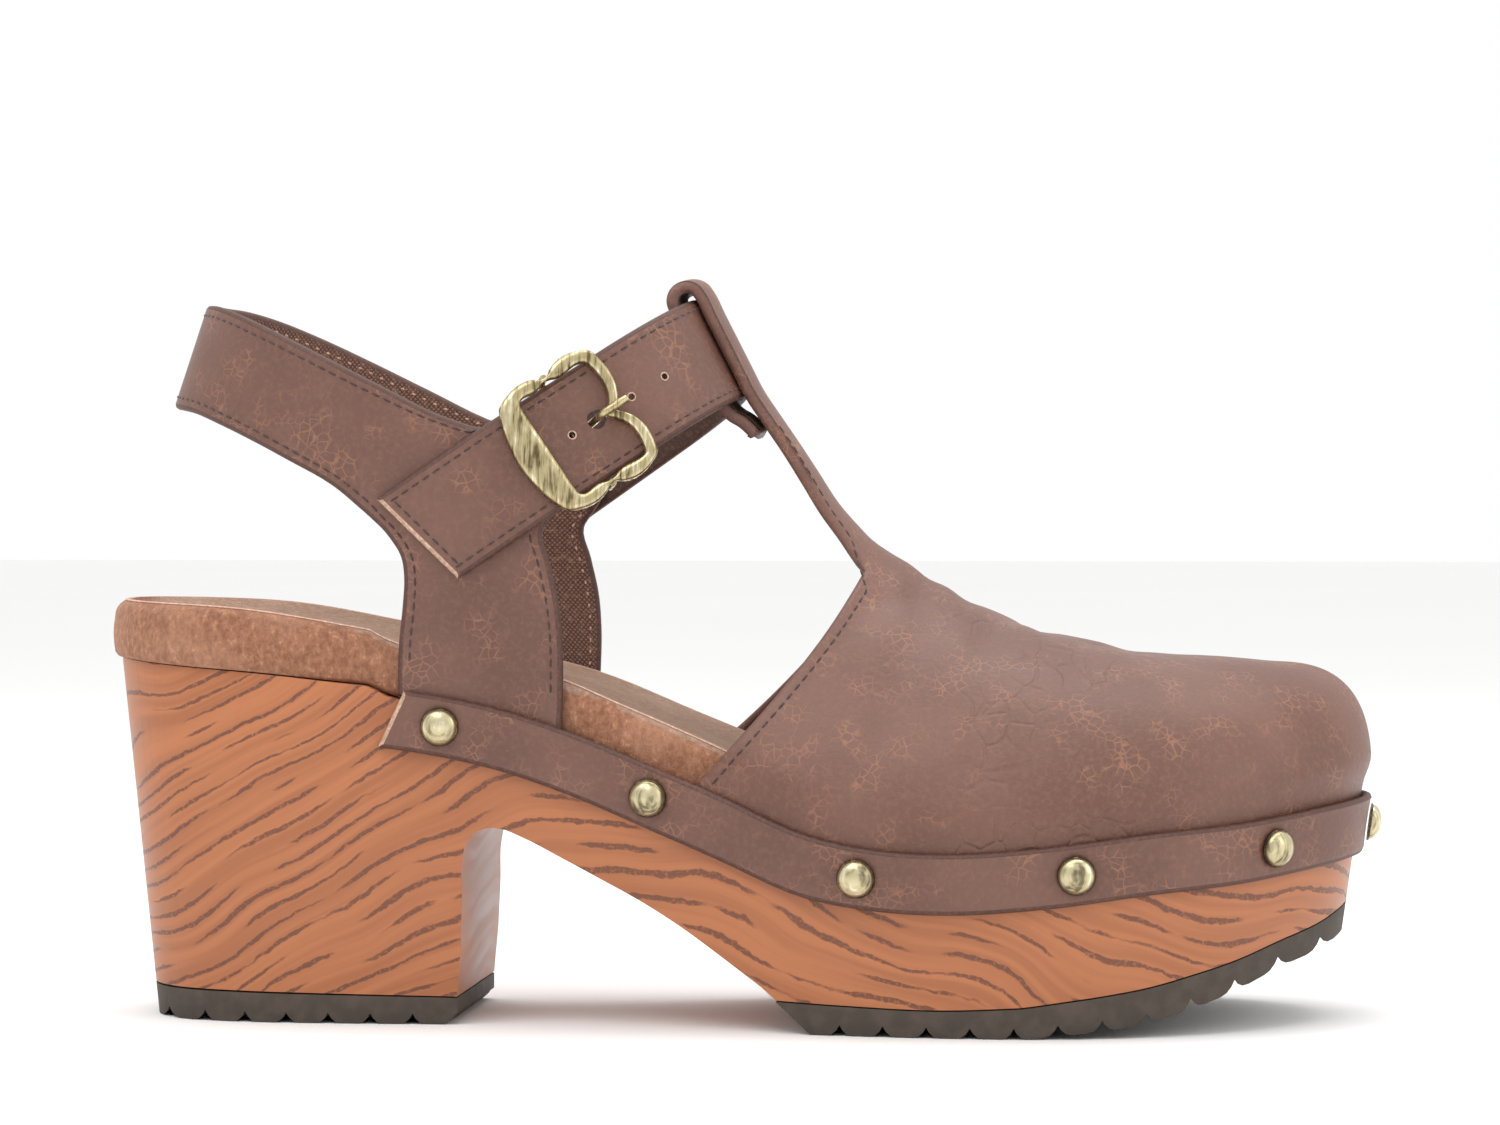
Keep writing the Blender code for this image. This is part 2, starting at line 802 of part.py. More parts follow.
def cross_vector(reach):
    """Direction across the strap, from its lower to its upper edge."""
    stations = (0.0, BUCKLE_REACH - BUCKLE_HALF_LENGTH, BUCKLE_REACH + BUCKLE_HALF_LENGTH, LATERAL_REACH)
    angle = np.interp(reach, stations, (CROSS_AT_NOSE, CROSS_AT_BUCKLE, CROSS_AT_BUCKLE, CROSS_AT_TAIL))
    return Vector((math.cos(angle), 0.0, math.sin(angle)))


def quarter_half_width(x, z, medial):
    """Outer half width of the quarter and sling at one place of the side view."""
    width = strap_half_span(strap_reach(x, z)) - strap_lift()
    turn_x = x_at(SLING_TURN_ALONG)
    if x < turn_x:
        share = (turn_x - x) / (turn_x - sling_back_x(z))
        width *= (1.0 - min(share, 1.0) ** SLING_POWER) ** (1.0 / SLING_POWER)
    rise = ramp(z, rim_z(x), rim_z(x) + QUARTER_BLEND)
    return mix(half_width(x, medial), width, rise)


def strap_point(reach, across, medial):
    """Point of the strap's middle surface."""
    point = strap_middle() + strap_direction() * reach + cross_vector(reach) * across
    nose_end = NOSE_RADIUS * (1.0 - math.cos(NOSE_TURN))
    if reach <= nose_end:
        span = strap_half_span(reach)
    else:
        span = quarter_half_width(point.x, point.z, medial) + strap_lift()
    point.y = span if medial else -span
    return point


def strap_reaches(end):
    """Stations along one leg, from the nose to an end."""
    nose_end = NOSE_RADIUS * (1.0 - math.cos(NOSE_TURN))
    reaches = [NOSE_RADIUS * (1.0 - math.cos(NOSE_TURN * i / 8)) for i in range(1, 9)]
    return reaches + spaced(nose_end, end, 14)[1:]


def build_ankle_strap(shader):
    """Strap around the instep, whose long end lies over the lateral quarter."""
    columns = 4
    lateral = [(reach, False) for reach in reversed(strap_reaches(LATERAL_REACH))]
    medial = [(reach, True) for reach in strap_reaches(MEDIAL_REACH)]
    stations = lateral + [(0.0, False)] + medial
    middle = []
    for i, (reach, inner) in enumerate(stations):
        for column in range(columns + 1):
            across = STRAP_WIDTH * (column / columns - 0.5)
            skew = 0.0
            if i == 0:
                skew = TAIL_SKEW * (column / columns)
            middle.append(strap_point(reach + skew, across, inner))
    quads = grid_faces(len(stations), columns + 1)
    normals = sheet_normals(middle, quads)
    half = STRAP_THICKNESS / 2.0
    front = [point + normal * half for point, normal in zip(middle, normals)]
    back = [point - normal * half for point, normal in zip(middle, normals)]
    strap = thick_sheet("ankle_strap", front, back, quads, shader)
    hole_from = on_buckle(PRONG_HOLE_AT, 0.0, -2.0 * STRAP_THICKNESS)
    hole_to = on_buckle(PRONG_HOLE_AT, 0.0, 2.0 * STRAP_THICKNESS)
    points, faces = tube((hole_from, hole_to), PRONG_HOLE_RADIUS, sides=12)
    boolean(strap, solid("prong_hole", points, faces, shader), "DIFFERENCE")


# Quarter and sling

def sling_back_x(z):
    return x_at(SLING_BACK_ALONG) + SLING_LEAN * (z - rise_z(SLING.column("low_rise")[-1]))


def rise_z(rise):
    return HEEL_HEIGHT + ANKLE_RISE * rise


def edge_section(front_along, front_rise, rear_along, rear_rise):
    return x_at(front_along), rise_z(front_rise), x_at(rear_along), rise_z(rear_rise)


def quarter_sections():
    """Front and rear edge points up the quarter, whose end lies under the ankle strap."""
    stop = BUCKLE_REACH + QUARTER_STOP
    sections = [edge_section(*row) for row in QUARTER.rows]
    for across, rear_along, rear_rise in QUARTER_END.rows:
        front = strap_middle() + strap_direction() * stop + cross_vector(stop) * (STRAP_WIDTH * across)
        sections.append((front.x, front.z, x_at(rear_along), rise_z(rear_rise)))
    return sections + [edge_section(*row) for row in QUARTER_TURN.rows]


def quarter_side(medial):
    """Rows of outer points from the sole up the quarter and along the sling to the heel."""
    shares = [i / BAND_COLUMNS for i in range(BAND_COLUMNS + 1)]
    rows = []
    for lift in (GAP - RAND_COVER, RIM_CLEARANCE):
        xs = [mix(x_at(QUARTER_FRONT_ALONG), x_at(QUARTER_REAR_ALONG), share) for share in shares]
        rows.append([Vector((x, half_width(x, medial), rim_z(x) + lift)) for x in xs])
    inset = SIDE_LEAN * RAND_COVER
    rows[0] = [Vector((point.x, point.y - inset, seat_z(point.x) + GAP)) for point in rows[0]]
    for front_x, front_z, rear_x, rear_z in quarter_sections():
        row = []
        for share in shares:
            x = mix(front_x, rear_x, share)
            z = mix(front_z, rear_z, share)
            row.append(Vector((x, quarter_half_width(x, z, medial), z)))
        rows.append(row)
    for top_turn, top_rise, low_turn, low_rise in SLING.rows:
        row = []
        for share in shares:
            turn = mix(top_turn, low_turn, share) * math.pi / 2.0
            z = mix(rise_z(top_rise), rise_z(low_rise), share)
            turn_x = x_at(SLING_TURN_ALONG)
            x = turn_x - (turn_x - sling_back_x(z)) * math.sin(turn) ** (2.0 / SLING_POWER)
            width = strap_half_span(strap_reach(x, z)) - strap_lift()
            row.append(Vector((x, width * max(math.cos(turn), 0.0) ** (2.0 / SLING_POWER), z)))
        rows.append(row)
    sign = 1.0 if medial else -1.0
    return [[Vector((point.x, sign * point.y, point.z)) for point in row] for row in rows]


def build_quarter(shader):
    lateral = quarter_side(medial=False)
    medial = quarter_side(medial=True)
    rows = lateral + list(reversed(medial[:-1]))
    for point in rows[len(lateral) - 1]:
        point.y = 0.0
    outer = [point for row in rows for point in row]
    quads = grid_faces(len(rows), BAND_COLUMNS + 1)
    normals = sheet_normals(outer, quads)
    if normals[len(outer) // 2].x > 0.0:
        normals = [-normal for normal in normals]
    feet = 2 * (BAND_COLUMNS + 1)
    inner = []
    for i, (point, normal) in enumerate(zip(outer, normals)):
        if i < feet or i >= len(outer) - feet:
            normal = Vector((0.0, math.copysign(1.0, point.y), 0.0))
        inner.append(point - normal * QUARTER_WALL)
    thick_sheet("quarter_sling", outer, inner, quads, shader)


# Vamp with T-strap and loop

def spine_point(share):
    """Point of the vamp's middle line, from the throat to the toe."""
    x = x_at(mix(SPINE_BACK_ALONG, SPINE_FRONT_ALONG, share))
    height = mix(TOE_BOX_HEIGHT, VAMP_HEIGHT, vamp_height(share))
    return Vector((x, SPINE_FRONT_SHIFT * share, rim_z(x) + height))


def vamp_side(share, medial):
    """Outer points of half a section, from the sole up to the middle line."""
    start = edge_place(VAMP_FOOT_MEDIAL if medial else VAMP_FOOT_LATERAL, medial)
    place = mix(start, 1.0, share)
    base = plan_point(place)
    normal = plan_normal(place)
    spine = spine_point(share)
    power = vamp_power(share)
    rim = rim_z(base.x) + RIM_CLEARANCE
    points = [sole_side(place, seat_z(base.x) + GAP)]
    for degrees in VAMP_TURNS:
        turn = math.radians(degrees)
        inward = 1.0 - max(math.cos(turn), 0.0) ** (2.0 / power)
        upward = math.sin(turn) ** (2.0 / power)
        forward = mix(1.0 - (1.0 - upward) ** THROAT_SWEEP, inward, vamp_sweep(share))
        height = mix(rim, spine.z, upward)
        point = Vector((mix(base.x, spine.x, forward), mix(base.y, spine.y, inward), height))
        bulge = ramp(height, rim, rim + BULGE_RISE) * math.cos(turn)
        points.append(point + normal * VAMP_BULGE * bulge)
    return points


def loop_frame():
    """Middle of the ankle strap at the instep, its outward and its upward direction."""
    upward = cross_vector(0.0)
    outward = Vector((upward.z, 0.0, -upward.x))
    return strap_middle(), outward, upward


def tstrap_route():
    """Outer middle line of T-strap and loop, with half widths, crowns and thicknesses."""
    middle, outward, upward = loop_frame()
    reach_out = STRAP_THICKNESS / 2.0 + LOOP_CLEARANCE + TONGUE_THICKNESS
    bend = NOSE_RADIUS - math.sqrt(NOSE_RADIUS ** 2 - TSTRAP_HALF_WIDTH ** 2)
    stations = []
    for forward, down, width, crown in TSTRAP.rows:
        point = middle + Vector((forward, 0.0, -down))
        stations.append((point, TSTRAP_HALF_WIDTH * width, bend * crown))
    places = [(reach_out, across) for across in LOOP_FRONT.column("across")]
    for i in range(LOOP_TURNS + 1):
        turn = math.pi * i / LOOP_TURNS
        places.append((reach_out * math.cos(turn), LOOP_CENTRE + reach_out * math.sin(turn)))
    places += [(reach_out * out, across) for out, across in LOOP_BACK.rows]
    for out, across in places:
        stations.append((middle + outward * out + upward * across, TSTRAP_HALF_WIDTH, bend))
    return stations


def build_vamp(shader):
    """One hollow upper: vamp, T-strap and the loop that the ankle strap passes through."""
    half = len(VAMP_TURNS)
    columns = 2 * half + 1
    outer = []
    for i in range(VAMP_STATIONS):
        share = i / VAMP_STATIONS
        lateral = vamp_side(share, medial=False)
        medial = vamp_side(share, medial=True)
        outer += lateral + list(reversed(medial[:-1]))
    tip = len(outer)
    outer += vamp_side(1.0, medial=False)
    quads = grid_faces(VAMP_STATIONS, columns)
    last = (VAMP_STATIONS - 1) * columns
    for column in range(columns - 1):
        ahead = tip + min(column, columns - 1 - column)
        after = tip + min(column + 1, columns - 2 - column)
        quads.append((last + column, last + column + 1, after, ahead))
    feet = {tip, tip + 1}
    for i in range(VAMP_STATIONS):
        feet.update(i * columns + column for column in (0, 1, columns - 2, columns - 1))

    route = tstrap_route()
    root = [ROOT_COLUMN + i for i in range(columns - 2 * ROOT_COLUMN)]
    before = root
    walls = [VAMP_WALL] * len(outer)
    for i, (point, width, crown) in enumerate(route):
        row = []
        for column in range(len(root)):
            side = 2.0 * column / (len(root) - 1) - 1.0
            row.append(len(outer))
            outer.append(point + Vector((0.0, side * width, 0.0)) + strap_direction() * crown * side * side)
            walls.append(mix(VAMP_WALL, TONGUE_THICKNESS, min((i + 1) / 3.0, 1.0)))
        for column in range(len(root) - 1):
            quads.append((row[column], row[column + 1], before[column + 1], before[column]))
        before = row

    normals = sheet_normals(outer, quads)
    crest = (VAMP_STATIONS // 2) * columns + half
    if normals[crest].z < 0.0:
        normals = [-normal for normal in normals]
    inner = []
    for i, (point, normal) in enumerate(zip(outer, normals)):
        if i in feet:
            normal = Vector((normal.x, normal.y, 0.0)).normalized()
        inner.append(point - normal * walls[i])
    thick_sheet("vamp", outer, inner, quads, shader)


# Buckle

def buckle_axes():
    """Middle of the buckle, forwards along the strap, upwards across it and outwards."""
    middle = strap_point(BUCKLE_REACH, 0.0, medial=False)
    step = BUCKLE_EDGE
    forwards = (strap_point(BUCKLE_REACH - step, 0.0, medial=False) - middle).normalized()
    upwards = (strap_point(BUCKLE_REACH, step, medial=False) - middle).normalized()
    return middle, forwards, upwards, forwards.cross(upwards)


def on_buckle(length, width, height):
    middle, forwards, upwards, outwards = buckle_axes()
    return middle + forwards * length + upwards * width + outwards * height


def buckle_sections():
    """Outer and inner corners all around the frame."""
    rows = [tuple(row) for row in BUCKLE.rows]
    mirrored = [(a, -b, c, -d) for a, b, c, d in reversed(rows[1:-1])]
    sections = []
    for outer_length, outer_width, inner_length, inner_width in rows + mirrored:
        outer_width += NOTCH_SKEW * (1.0 - abs(outer_width)) if outer_length > 0.9 else 0.0
        inner_width += NOTCH_SKEW * (1.0 - abs(inner_width)) if outer_length > 0.9 else 0.0
        sections.append((outer_length * BUCKLE_HALF_LENGTH, outer_width * BUCKLE_HALF_WIDTH,
                         inner_length * BUCKLE_HALF_LENGTH, inner_width * BUCKLE_HALF_WIDTH))
    return sections


def build_buckle_frame(shader):
    """Frame with a broad rear bar, and the round bar that it turns on."""
    low = STRAP_THICKNESS / 2.0 + GAP
    high = low + BUCKLE_THICKNESS
    points = []
    sections = buckle_sections()
    for outer_length, outer_width, inner_length, inner_width in sections:
        outer = Vector((outer_length, outer_width))
        inner = Vector((inner_length, inner_width))
        inset = (inner - outer).normalized() * BUCKLE_EDGE
        corners = ((outer, low), (outer, high - BUCKLE_EDGE), (outer + inset, high),
                   (inner - inset, high), (inner, high - BUCKLE_EDGE), (inner, low))
        points += [on_buckle(corner.x, corner.y, height) for corner, height in corners]
    ring = 6
    faces = []
    for i in range(len(sections)):
        after = (i + 1) % len(sections)
        for corner in range(ring):
            beside = (corner + 1) % ring
            faces.append((i * ring + corner, i * ring + beside, after * ring + beside, after * ring + corner))
    frame = solid("buckle_frame", points, faces, shader, smooth_angle=30.0)
    turn = BAR_DEPTH - BAR_RADIUS
    top = mix(low, high, 0.5)
    side = BAR_HALF_SPAN
    bend = BAR_RADIUS
    route = ((side, top), (side, -turn), (side - bend, -BAR_DEPTH),
             (bend - side, -BAR_DEPTH), (-side, -turn), (-side, top))
    bar_points, bar_faces = tube([on_buckle(0.0, width, height) for width, height in route], BAR_RADIUS)
    boolean(frame, solid("buckle_bar", bar_points, bar_faces, shader), "UNION")


def drum(name, radius, start, end, shader, sides=16):
    """Round disc around the buckle's bar, between two places across the strap."""
    ends = (on_buckle(0.0, start, -BAR_DEPTH), on_buckle(0.0, end, -BAR_DEPTH))
    points, faces = tube(ends, radius, sides)
    return solid(name, points, faces, shader)


def build_buckle_prong(shader):
    """Prong with an eye on the bar; it comes up through the strap's hole and lies on the frame."""
    half = PRONG_HALF_WIDTH
    prong = drum("buckle_prong", PRONG_EYE_RADIUS, -half, half, shader)
    route = [on_buckle(length, 0.0, height) for length, height in PRONG.rows]
    arm_points, arm_faces = tube(route, PRONG_RADIUS)
    boolean(prong, solid("prong_arm", arm_points, arm_faces, shader), "UNION")
    bore = drum("prong_bore", BAR_RADIUS + GAP, -2.0 * half, 2.0 * half, shader, sides=12)
    boolean(prong, bore, "DIFFERENCE")


def build_buckle_tab(shader):
    """Leather tab that lies inside the quarter and turns around the buckle's bar."""
    tab = drum("buckle_tab", EYE_RADIUS, -TAB_HALF_WIDTH, TAB_HALF_WIDTH, shader)
    top = strap_lift() + QUARTER_WALL + 2.0 * GAP
    steps = 5
    front = []
    back = []
    for i in range(steps + 1):
        reach = BUCKLE_REACH + TAB_LENGTH * i / steps
        for width in (-TAB_HALF_WIDTH, TAB_HALF_WIDTH):
            point = strap_point(reach, width, medial=False)
            outwards = buckle_axes()[3]
            front.append(point - outwards * top)
            back.append(point - outwards * (top + TAB_THICKNESS))
    strip = thick_sheet("tab_strip", front, back, grid_faces(steps + 1, 2), shader)
    boolean(tab, strip, "UNION")
    boolean(tab, drum("tab_bore", BAR_RADIUS + GAP, -2.0 * TAB_HALF_WIDTH, 2.0 * TAB_HALF_WIDTH, shader, 12),
            "DIFFERENCE")
    half_slot = PRONG_HALF_WIDTH + GAP
    slot = drum("tab_slot", 2.0 * EYE_RADIUS, -half_slot, half_slot, shader)
    boolean(tab, slot, "DIFFERENCE")


# Studs

def stud_places():
    """Places on the sole's edge: even steps from the first stud to the toe on each side."""
    steps = 120
    places = []
    for medial in (False, True):
        start = edge_place(FIRST_STUD_ALONG, medial)
        samples = spaced(start, 1.0, steps)
        points = [plan_point(place) for place in samples]
        lengths = [0.0]
        for i in range(steps):
            lengths.append(lengths[-1] + (points[i + 1] - points[i]).length)
        for i in range(STUDS_PER_SIDE):
            places.append(float(np.interp(lengths[-1] * i / STUDS_PER_SIDE, lengths, samples)))
    return sorted(places + [1.0])


def build_stud(name, place, shader):
    """Domed stud with a flat back on the middle of the rand."""
    x = plan_point(place).x
    slope = (rim_z(x + RAND_WIDTH) - rim_z(x - RAND_WIDTH)) / (2.0 * RAND_WIDTH)
    drop = RAND_WIDTH * math.hypot(1.0, slope)
    upper = sole_side(place, rim_z(x) - 0.25 * drop, GAP + RAND_THICKNESS)
    lower = sole_side(place, rim_z(x) - 0.75 * drop, GAP + RAND_THICKNESS)
    upward = (upper - lower).normalized()
    flat = plan_normal(place)
    outward = (flat - upward * flat.dot(upward)).normalized()
    forward = upward.cross(outward)
    middle = (upper + lower) / 2.0 + outward * GAP
    sides = 12
    steps = 4
    points = []
    for i in range(steps):
        turn = math.pi / 2.0 * i / steps
        for side in range(sides):
            angle = 2.0 * math.pi * side / sides
            spoke = forward * math.cos(angle) + upward * math.sin(angle)
            rise = outward * STUD_HEIGHT * math.sin(turn)
            points.append(middle + spoke * STUD_RADIUS * math.cos(turn) + rise)
    points.append(middle + outward * STUD_HEIGHT)
    faces = [tuple(range(sides))]
    for i in range(steps):
        for side in range(sides):
            after = (side + 1) % sides
            start = i * sides
            if i < steps - 1:
                faces.append((start + side, start + after, start + sides + after, start + sides + side))
            else:
                faces.append((start + side, start + after, len(points) - 1))
    solid(name, points, faces, shader, smooth_angle=60.0)


def main():
    for thing in list(bpy.data.objects):
        bpy.data.objects.remove(thing, do_unlink=True)
    leather = material("brown_leather", (0.155, 0.070, 0.053), 0.55)
    wood = material("wood_look_platform", (0.360, 0.125, 0.046), 0.45)
    rubber = material("taupe_rubber", (0.072, 0.055, 0.042), 0.75)
    suede = material("tan_suede", (0.345, 0.155, 0.088), 0.95)
    brass = material("antique_brass", (0.420, 0.340, 0.190), 0.35, metallic=1.0)
    build_heel_toplift(rubber)
    build_forefoot_outsole(rubber)
    build_platform(wood)
    build_rand(leather)
    build_footbed(suede)
    build_vamp(leather)
    build_quarter(leather)
    build_ankle_strap(leather)
    build_buckle_frame(brass)
    build_buckle_prong(brass)
    build_buckle_tab(leather)
    for i, place in enumerate(stud_places()):
        build_stud(f"stud_{i + 1:02d}", place, brass)


main()
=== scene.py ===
"""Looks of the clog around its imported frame: fine surfaces, stitching, materials, camera and light.

Units are metres, in the frame of the CAD model: toe to +X, inner side to +Y, floor at z = 0.
Sizes, tables and curves repeat those of the part's source, at a finer spacing.
"""
import json
import math

import bmesh
import bpy
import numpy as np
from mathutils import Matrix, Vector

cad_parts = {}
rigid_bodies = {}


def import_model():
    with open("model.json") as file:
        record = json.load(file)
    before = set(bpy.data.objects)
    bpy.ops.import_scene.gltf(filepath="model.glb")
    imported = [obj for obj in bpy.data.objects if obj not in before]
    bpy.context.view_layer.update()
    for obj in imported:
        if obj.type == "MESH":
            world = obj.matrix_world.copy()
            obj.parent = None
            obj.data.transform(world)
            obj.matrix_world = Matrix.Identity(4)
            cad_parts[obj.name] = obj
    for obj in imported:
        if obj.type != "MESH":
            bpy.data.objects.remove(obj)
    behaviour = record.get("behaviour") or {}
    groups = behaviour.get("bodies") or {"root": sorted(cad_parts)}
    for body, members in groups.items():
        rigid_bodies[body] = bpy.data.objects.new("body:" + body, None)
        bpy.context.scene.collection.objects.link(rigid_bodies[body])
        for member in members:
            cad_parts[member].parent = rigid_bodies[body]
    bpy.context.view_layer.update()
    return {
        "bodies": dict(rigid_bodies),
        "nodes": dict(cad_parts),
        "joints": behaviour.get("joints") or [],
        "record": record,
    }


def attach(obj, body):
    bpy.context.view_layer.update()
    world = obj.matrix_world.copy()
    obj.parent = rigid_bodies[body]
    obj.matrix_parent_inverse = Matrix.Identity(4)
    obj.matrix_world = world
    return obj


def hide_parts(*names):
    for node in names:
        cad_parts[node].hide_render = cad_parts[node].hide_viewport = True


# Sole: overall sizes
SOLE_LENGTH = 0.2545
BALL_WIDTH = 0.0930
HEEL_HEIGHT = 0.0731
PLATFORM_HEIGHT = 0.0364
TOE_SPRING = 0.0198
HEEL_BACK_X = -0.0426

# Sole: how far its side leans in for each metre of depth
SIDE_LEAN = 0.060
HEEL_LEAN = 0.102
TOE_LEAN = 0.140

# Rubber outsoles
HEEL_RUBBER = 0.0065
HEEL_RUBBER_FALL = 0.0011
FORE_RUBBER = 0.0054
LUG_PITCH = 0.0086
LUG_DEPTH = 0.0022
FORE_LUG_ALONG = 0.6106

# Leather, and the clearance between neighbouring pieces
GAP = 0.0003
LOOP_CLEARANCE = 0.0006
VAMP_WALL = 0.0018
QUARTER_WALL = 0.0020
STRAP_THICKNESS = 0.0020
TONGUE_THICKNESS = 0.0025

# Rand: the strip that covers the seam between upper and platform
RAND_WIDTH = 0.0120
RAND_THICKNESS = 0.0018
RAND_COVER = 0.0020
SEAT_RAMP = 0.0060
RAND_TOP_ALONG = 0.2487
RAND_TIP_ALONG = 0.2275

# Footbed
FOOTBED_THICKNESS = 0.0125
FOOTBED_EDGE_RADIUS = 0.0035
FOOTBED_CUP = 0.0035
FOOTBED_SWELL = 0.0015

# Vamp
VAMP_FOOT_LATERAL = 0.4813
VAMP_FOOT_MEDIAL = 0.4617
SPINE_BACK_ALONG = 0.6130
SPINE_FRONT_ALONG = 0.9214
SPINE_FRONT_SHIFT = 0.0050
VAMP_HEIGHT = 0.0589
TOE_BOX_HEIGHT = 0.0298
VAMP_BULGE = 0.0022
BULGE_RISE = 0.0080
THROAT_SWEEP = 1.35

# T-strap, which ends in the loop around the ankle strap
TSTRAP_HALF_WIDTH = 0.0090

# Ankle strap: its middle crosses the instep at this place, and both legs run back and down
STRAP_WIDTH = 0.0225
STRAP_NOSE_ALONG = 0.4857
ANKLE_RISE = 0.0631
STRAP_SLOPE = math.radians(34.0)
NOSE_RADIUS = 0.0280
NOSE_TURN = math.radians(72.3)
FLATTEN_START = 0.0400
FLATTEN_END = 0.0520
LATERAL_REACH = 0.0670
MEDIAL_REACH = 0.0610
TAIL_SKEW = 0.0040
CROSS_AT_NOSE = math.radians(117.0)
CROSS_AT_BUCKLE = math.radians(124.0)
CROSS_AT_TAIL = math.radians(126.0)

# Quarter and sling: one band up from the sole and around the heel
SLING_TURN_ALONG = 0.2888
SLING_BACK_ALONG = 0.0420
SLING_LEAN = 0.338
SLING_POWER = 2.3
QUARTER_STOP = 0.0085
QUARTER_BLEND = 0.0300
RIM_CLEARANCE = 0.0002

# Buckle
BUCKLE_REACH = 0.0311
BUCKLE_HALF_LENGTH = 0.0116
BUCKLE_HALF_WIDTH = 0.0133
BUCKLE_THICKNESS = 0.0022
BUCKLE_EDGE = 0.0005
BAR_RADIUS = 0.0008
BAR_HALF_SPAN = 0.0124
BAR_DEPTH = 0.0035
PRONG_RADIUS = 0.0008
PRONG_EYE_RADIUS = 0.0019
PRONG_HALF_WIDTH = 0.0015
PRONG_HOLE_AT = 0.0045
PRONG_HOLE_RADIUS = 0.0020

# Studs
STUD_RADIUS = 0.00385
STUD_HEIGHT = 0.0025
STUDS_PER_SIDE = 5
FIRST_STUD_ALONG = 0.2770

# Stitches: spacing, length and thickness, and how far each seam lies from its edge
STITCH_PITCH = 0.0025
STITCH_LENGTH = 0.0019
STITCH_RADIUS = 0.00027
STITCH_FLATNESS = 0.75
LINING_STITCH_LENGTH = 0.0009
LINING_STITCH_RADIUS = 0.00024
QUARTER_SEAM_INSET = 0.0024
STRAP_SEAM_INSET = 0.0022
TAIL_SEAM_INSET = 0.0024
THROAT_SEAM_INSET = 0.0026
TSTRAP_SEAM_INSET = 0.0019

# Small forms that only the looks have
WOOD_BEVEL = 0.0009
RUBBER_BEVEL = 0.00035
PRONG_BEVEL = 0.0003
TAB_BEVEL = 0.00025
STUD_DIP = 0.00035
STUD_DIP_REACH = 0.0018
FLANGE_SHARE = 0.17
DOME_SHARE = 0.925
SIDE_SWELL = 0.00035
SEAM_INSET_SHARE = 0.72
SEAM_HALF_WIDTH = 0.00042
SEAM_HALF_HEIGHT = 0.00022
PUNCHED_RADIUS = 0.0007
PUNCHED_AT = (-0.0012, 0.0125, 0.0197)
HOLE_RIM_GAP = 0.00010
HOLE_RIM_WIDTH = 0.00016
HOLE_RIM_HEIGHT = 0.00013
WEAVE_PITCH = 0.00105
GRAIN_PITCH = 0.0044

# Camera: as worked out from the photograph
CAMERA_AZIMUTH = math.radians(5.3)
CAMERA_PITCH = math.radians(0.9)
CAMERA_AWAY = 1.0
CAMERA_HEIGHT = 0.1082
CAMERA_AIM_X = 0.0871
CAMERA_LENS = 117.07
CAMERA_SENSOR = 36.0
FLOOR_REACH = 6.0

# Mesh fineness
OUTLINE_STATIONS = 130
VAMP_STATIONS = 66
BAND_COLUMNS = 20
RAND_STATIONS = 330
FOOTBED_STATIONS = 110
PROFILE_STEPS = 120


class Table:
    """Rows of numbers under named columns, which can be read as smooth curves."""

    def __init__(self, columns, *rows):
        self.names = columns.split()
        self.rows = np.array(rows, dtype=float)

    def column(self, name):
        return self.rows[:, self.names.index(name)]

    def curve(self, x_name, y_name):
        return smooth_curve(self.column(x_name), self.column(y_name))


def smooth_curve(xs, ys):
    """A smooth function through the points (xs, ys), level beyond both ends."""
    slopes = np.gradient(ys, xs)

    def value(x):
        x = min(max(x, xs[0]), xs[-1])
        i = min(max(int(np.searchsorted(xs, x, side="right")) - 1, 0), len(xs) - 2)
        span = xs[i + 1] - xs[i]
        t = (x - xs[i]) / span
        from_left = (1.0 + 2.0 * t) * (1.0 - t) ** 2 * ys[i] + t * (1.0 - t) ** 2 * span * slopes[i]
        from_right = t * t * (3.0 - 2.0 * t) * ys[i + 1] + t * t * (t - 1.0) * span * slopes[i + 1]
        return float(from_left + from_right)

    return value


# Plan of the platform: half widths as shares of the ball width
OUTLINE = Table(
    "along lateral medial",
    (0.0000, 0.000, 0.000),
    (0.0098, 0.151, 0.151),
    (0.0452, 0.269, 0.263),
    (0.1120, 0.328, 0.317),
    (0.2102, 0.339, 0.312),
    (0.3280, 0.339, 0.301),
    (0.4656, 0.387, 0.344),
    (0.5835, 0.457, 0.425),
    (0.7014, 0.495, 0.495),
    (0.7996, 0.479, 0.511),
    (0.8782, 0.398, 0.484),
    (0.9489, 0.237, 0.398),
    (0.9882, 0.075, 0.269),
    (1.0000, -0.097, 0.097),
)

# Top of the platform: its rise above the ball as a share of the heel's rise
RIM = Table(
    "along rise",
    (0.000, 1.005),
    (0.066, 0.965),
    (0.133, 0.929),
    (0.197, 0.880),
    (0.249, 0.843),
    (0.324, 0.744),
    (0.388, 0.605),
    (0.449, 0.436),
    (0.503, 0.286),
    (0.568, 0.093),
    (0.642, 0.005),
    (0.681, 0.000),
    (0.749, 0.035),
    (0.833, 0.109),
    (0.902, 0.153),
    (0.972, 0.223),
    (1.000, 0.250),
)

# Front of the heel and arch: heights as shares of the heel height
BREAST = Table(
    "along height",
    (0.2908, 0.208),
    (0.2923, 0.345),
    (0.2931, 0.460),
    (0.2960, 0.500),
    (0.3020, 0.528),
    (0.3112, 0.542),
    (0.3238, 0.542),
    (0.3399, 0.521),
    (0.3721, 0.465),
    (0.4039, 0.408),
    (0.4358, 0.350),
    (0.4676, 0.283),
    (0.4998, 0.205),
    (0.5316, 0.126),
)
HEEL_FRONT_ALONG = 0.2876
ARCH_END_ALONG = 0.5434

